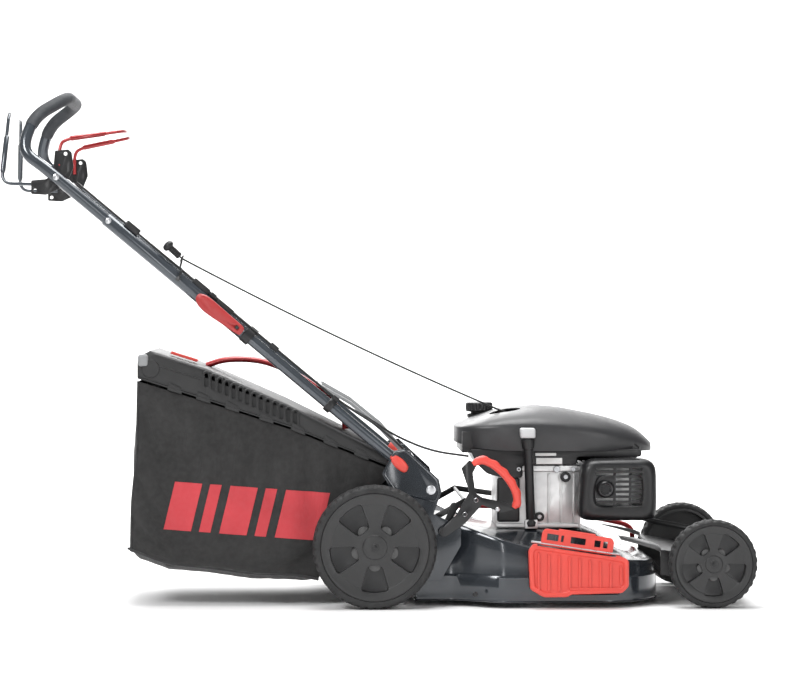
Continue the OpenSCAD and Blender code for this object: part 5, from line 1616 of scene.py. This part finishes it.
def surface_patch(name, bag, outlines, side, material, lift=0.8):
    """Thin print that follows the bag's side: each outline is a side-view polygon."""
    form = bmesh.new()
    for outline in outlines:
        form.faces.new([form.verts.new(at(x, side * 300, z)) for x, z in outline])
    for k in range(64):
        bisect(form, at(-560 + k * 8, 0, 0), (1, 0, 0))
    for k in range(64):
        bisect(form, (0, 0, (60 + k * 8) * MM), (0, 0, 1))
    graph = bpy.context.evaluated_depsgraph_get()
    solid = bag.evaluated_get(graph)
    for vert in form.verts:
        hit, place, _, _ = solid.ray_cast(vert.co, Vector((0, -side, 0)))
        vert.co.y = (place.y if hit else side * BAG_HALF_W * MM) + side * lift * MM
    mesh = bpy.data.meshes.new(name)
    form.to_mesh(mesh)
    form.free()
    piece = new_object(name, mesh, material, True, 60)
    return finish_piece(piece, "catcher", material)


def make_bag_trim(bag, materials):
    """Hem piping, rear corner tags and a plain printed mark of slanted bars."""
    cloth = materials["bag_hem"]
    parts = []
    for side in SIDES.values():
        y = side * (BAG_HALF_W + 0.5)
        bottom = [at(x, y, z) for x, z in BAG_OUTLINE[3:9]]
        parts.append(tube("hem", rounded_route(bottom, 30, 6), 3.2, cloth, 12))
        rear = [at(x, y, z) for x, z in BAG_OUTLINE[0:4]]
        parts.append(tube("seam", rounded_route(rear, 30, 6), 2.2, cloth, 10))
        tag = [at(-548, y - side * 3, 128), at(-556, y - side * 3, 131), at(-560.5, y - side * 3, 132)]
        parts.append(tube("tag", tag, 3, cloth, 10, radii=[4, 3.4, 2.2]))
    across = [at(-553, y, 128) for y in (-BAG_HALF_W, -100, 0, 100, BAG_HALF_W)]
    parts.append(tube("rear_hem", across, 3, cloth, 10))
    trim = [finish_piece(joined("bag_piping", parts), "catcher", cloth)]
    for side in SIDES.values():
        bars = []
        for x0, width in ((-478, 62), (-398, 26), (-352, 62), (-272, 26), (-226, 100)):
            fall = -0.075 * (x0 + 478)
            low, high = 176 + fall, 284 + fall
            lean = 26
            bars.append([(x0, low), (x0 + width, low - 0.075 * width),
                         (x0 + width + lean, high - 0.075 * width), (x0 + lean, high)])
        name = "bag_mark_" + ("right" if side < 0 else "left")
        trim.append(surface_patch(name, bag, bars, side, materials["print_red"]))


def make_catcher(materials):
    make_lid(materials)
    bag = make_bag(materials)
    make_bag_trim(bag, materials)
    handle = rounded_route([at(*p) for p in HANDLE_LINE], 44, 10)
    rings = []
    for point, (_, a, b) in zip(handle, route_frames(handle)):
        rings.append([point + (a * math.cos(t) * 13 + b * math.sin(t) * 7.6) * MM
                      for t in (2 * math.pi * k / 28 for k in range(28))])
    finish_piece(rings_mesh("carry_handle", rings, materials["red_paint_bright"]), "catcher",
                 "red_plastic", "catcher_handle")
    refined("fill_indicator", "fill_indicator", materials["red_plastic"], 1.2, 3)


# ---------------------------------------------------------------- running gear and the rest

def make_running_gear(materials):
    metal, paint, cast = (materials[name] for name in ("bright_steel", "black_paint", "cast_aluminium"))
    for name, body, material, bevel in (
            ("gearbox", "root", cast, 2), ("crankshaft", "crank", metal, 0.5),
            ("flywheel", "crank", cast, 0.8), ("blade_hub", "crank", metal, 0.6),
            ("blade", "crank", metal, 0.5), ("gearbox_pulley", "input_pulley", metal, 0.5),
            ("rear_carrier", "rear_carrier", paint, 0.8), ("front_carrier", "front_carrier", paint, 0.8),
            ("link_rod", "link", paint, 0.6), ("driveshaft", "driveshaft", metal, 0.5),
            ("drive_pinion_right", "pinion_right", metal, 0.2),
            ("drive_pinion_left", "pinion_left", metal, 0.2)):
        refined(name, body, material, bevel, 2)
    refined("drive_belt", "root", materials["belt_rubber"], 0.8, 2)


def make_floor(materials):
    """Pale floor that curves up into a pale wall far behind the mower."""
    profile = [(-14, 0), (7, 0)]
    for k in range(1, 17):
        turn = math.radians(90 * k / 16)
        profile.append((7 + 2.5 * math.sin(turn), 2.5 - 2.5 * math.cos(turn)))
    profile.append((9.5, 9))
    verts = [(x, y, z) for y, z in profile for x in (-14, 14)]
    faces = [(2 * k, 2 * k + 1, 2 * k + 3, 2 * k + 2) for k in range(len(profile) - 1)]
    mesh = bpy.data.meshes.new("floor")
    mesh.from_pydata(verts, [], faces)
    floor = new_object("floor", mesh, materials["floor"], True, 60)


make_camera()
make_light()
MATERIALS = make_materials()
make_floor(MATERIALS)
make_cords(MATERIALS)
make_wheels(MATERIALS)
make_deck(MATERIALS)
make_front(MATERIALS)
make_engine(MATERIALS)
make_dipstick(MATERIALS)
make_fuel_cap(MATERIALS)
make_lower_tubes(MATERIALS)
make_latches(MATERIALS)
make_upper_handle(MATERIALS)
make_clamp_lever("clamp_right", -1, MATERIALS)
make_clamp_lever("clamp_left", 1, MATERIALS)
make_bails(MATERIALS)
make_cable_fittings(MATERIALS)
make_rope_guide(MATERIALS)
make_starter_grip(MATERIALS)
make_height_lever(MATERIALS)
make_brackets(MATERIALS)
make_side_rail(MATERIALS)
make_side_flap(MATERIALS)
make_flap_bracket(MATERIALS)
make_chute(MATERIALS)
make_catcher(MATERIALS)
make_running_gear(MATERIALS)
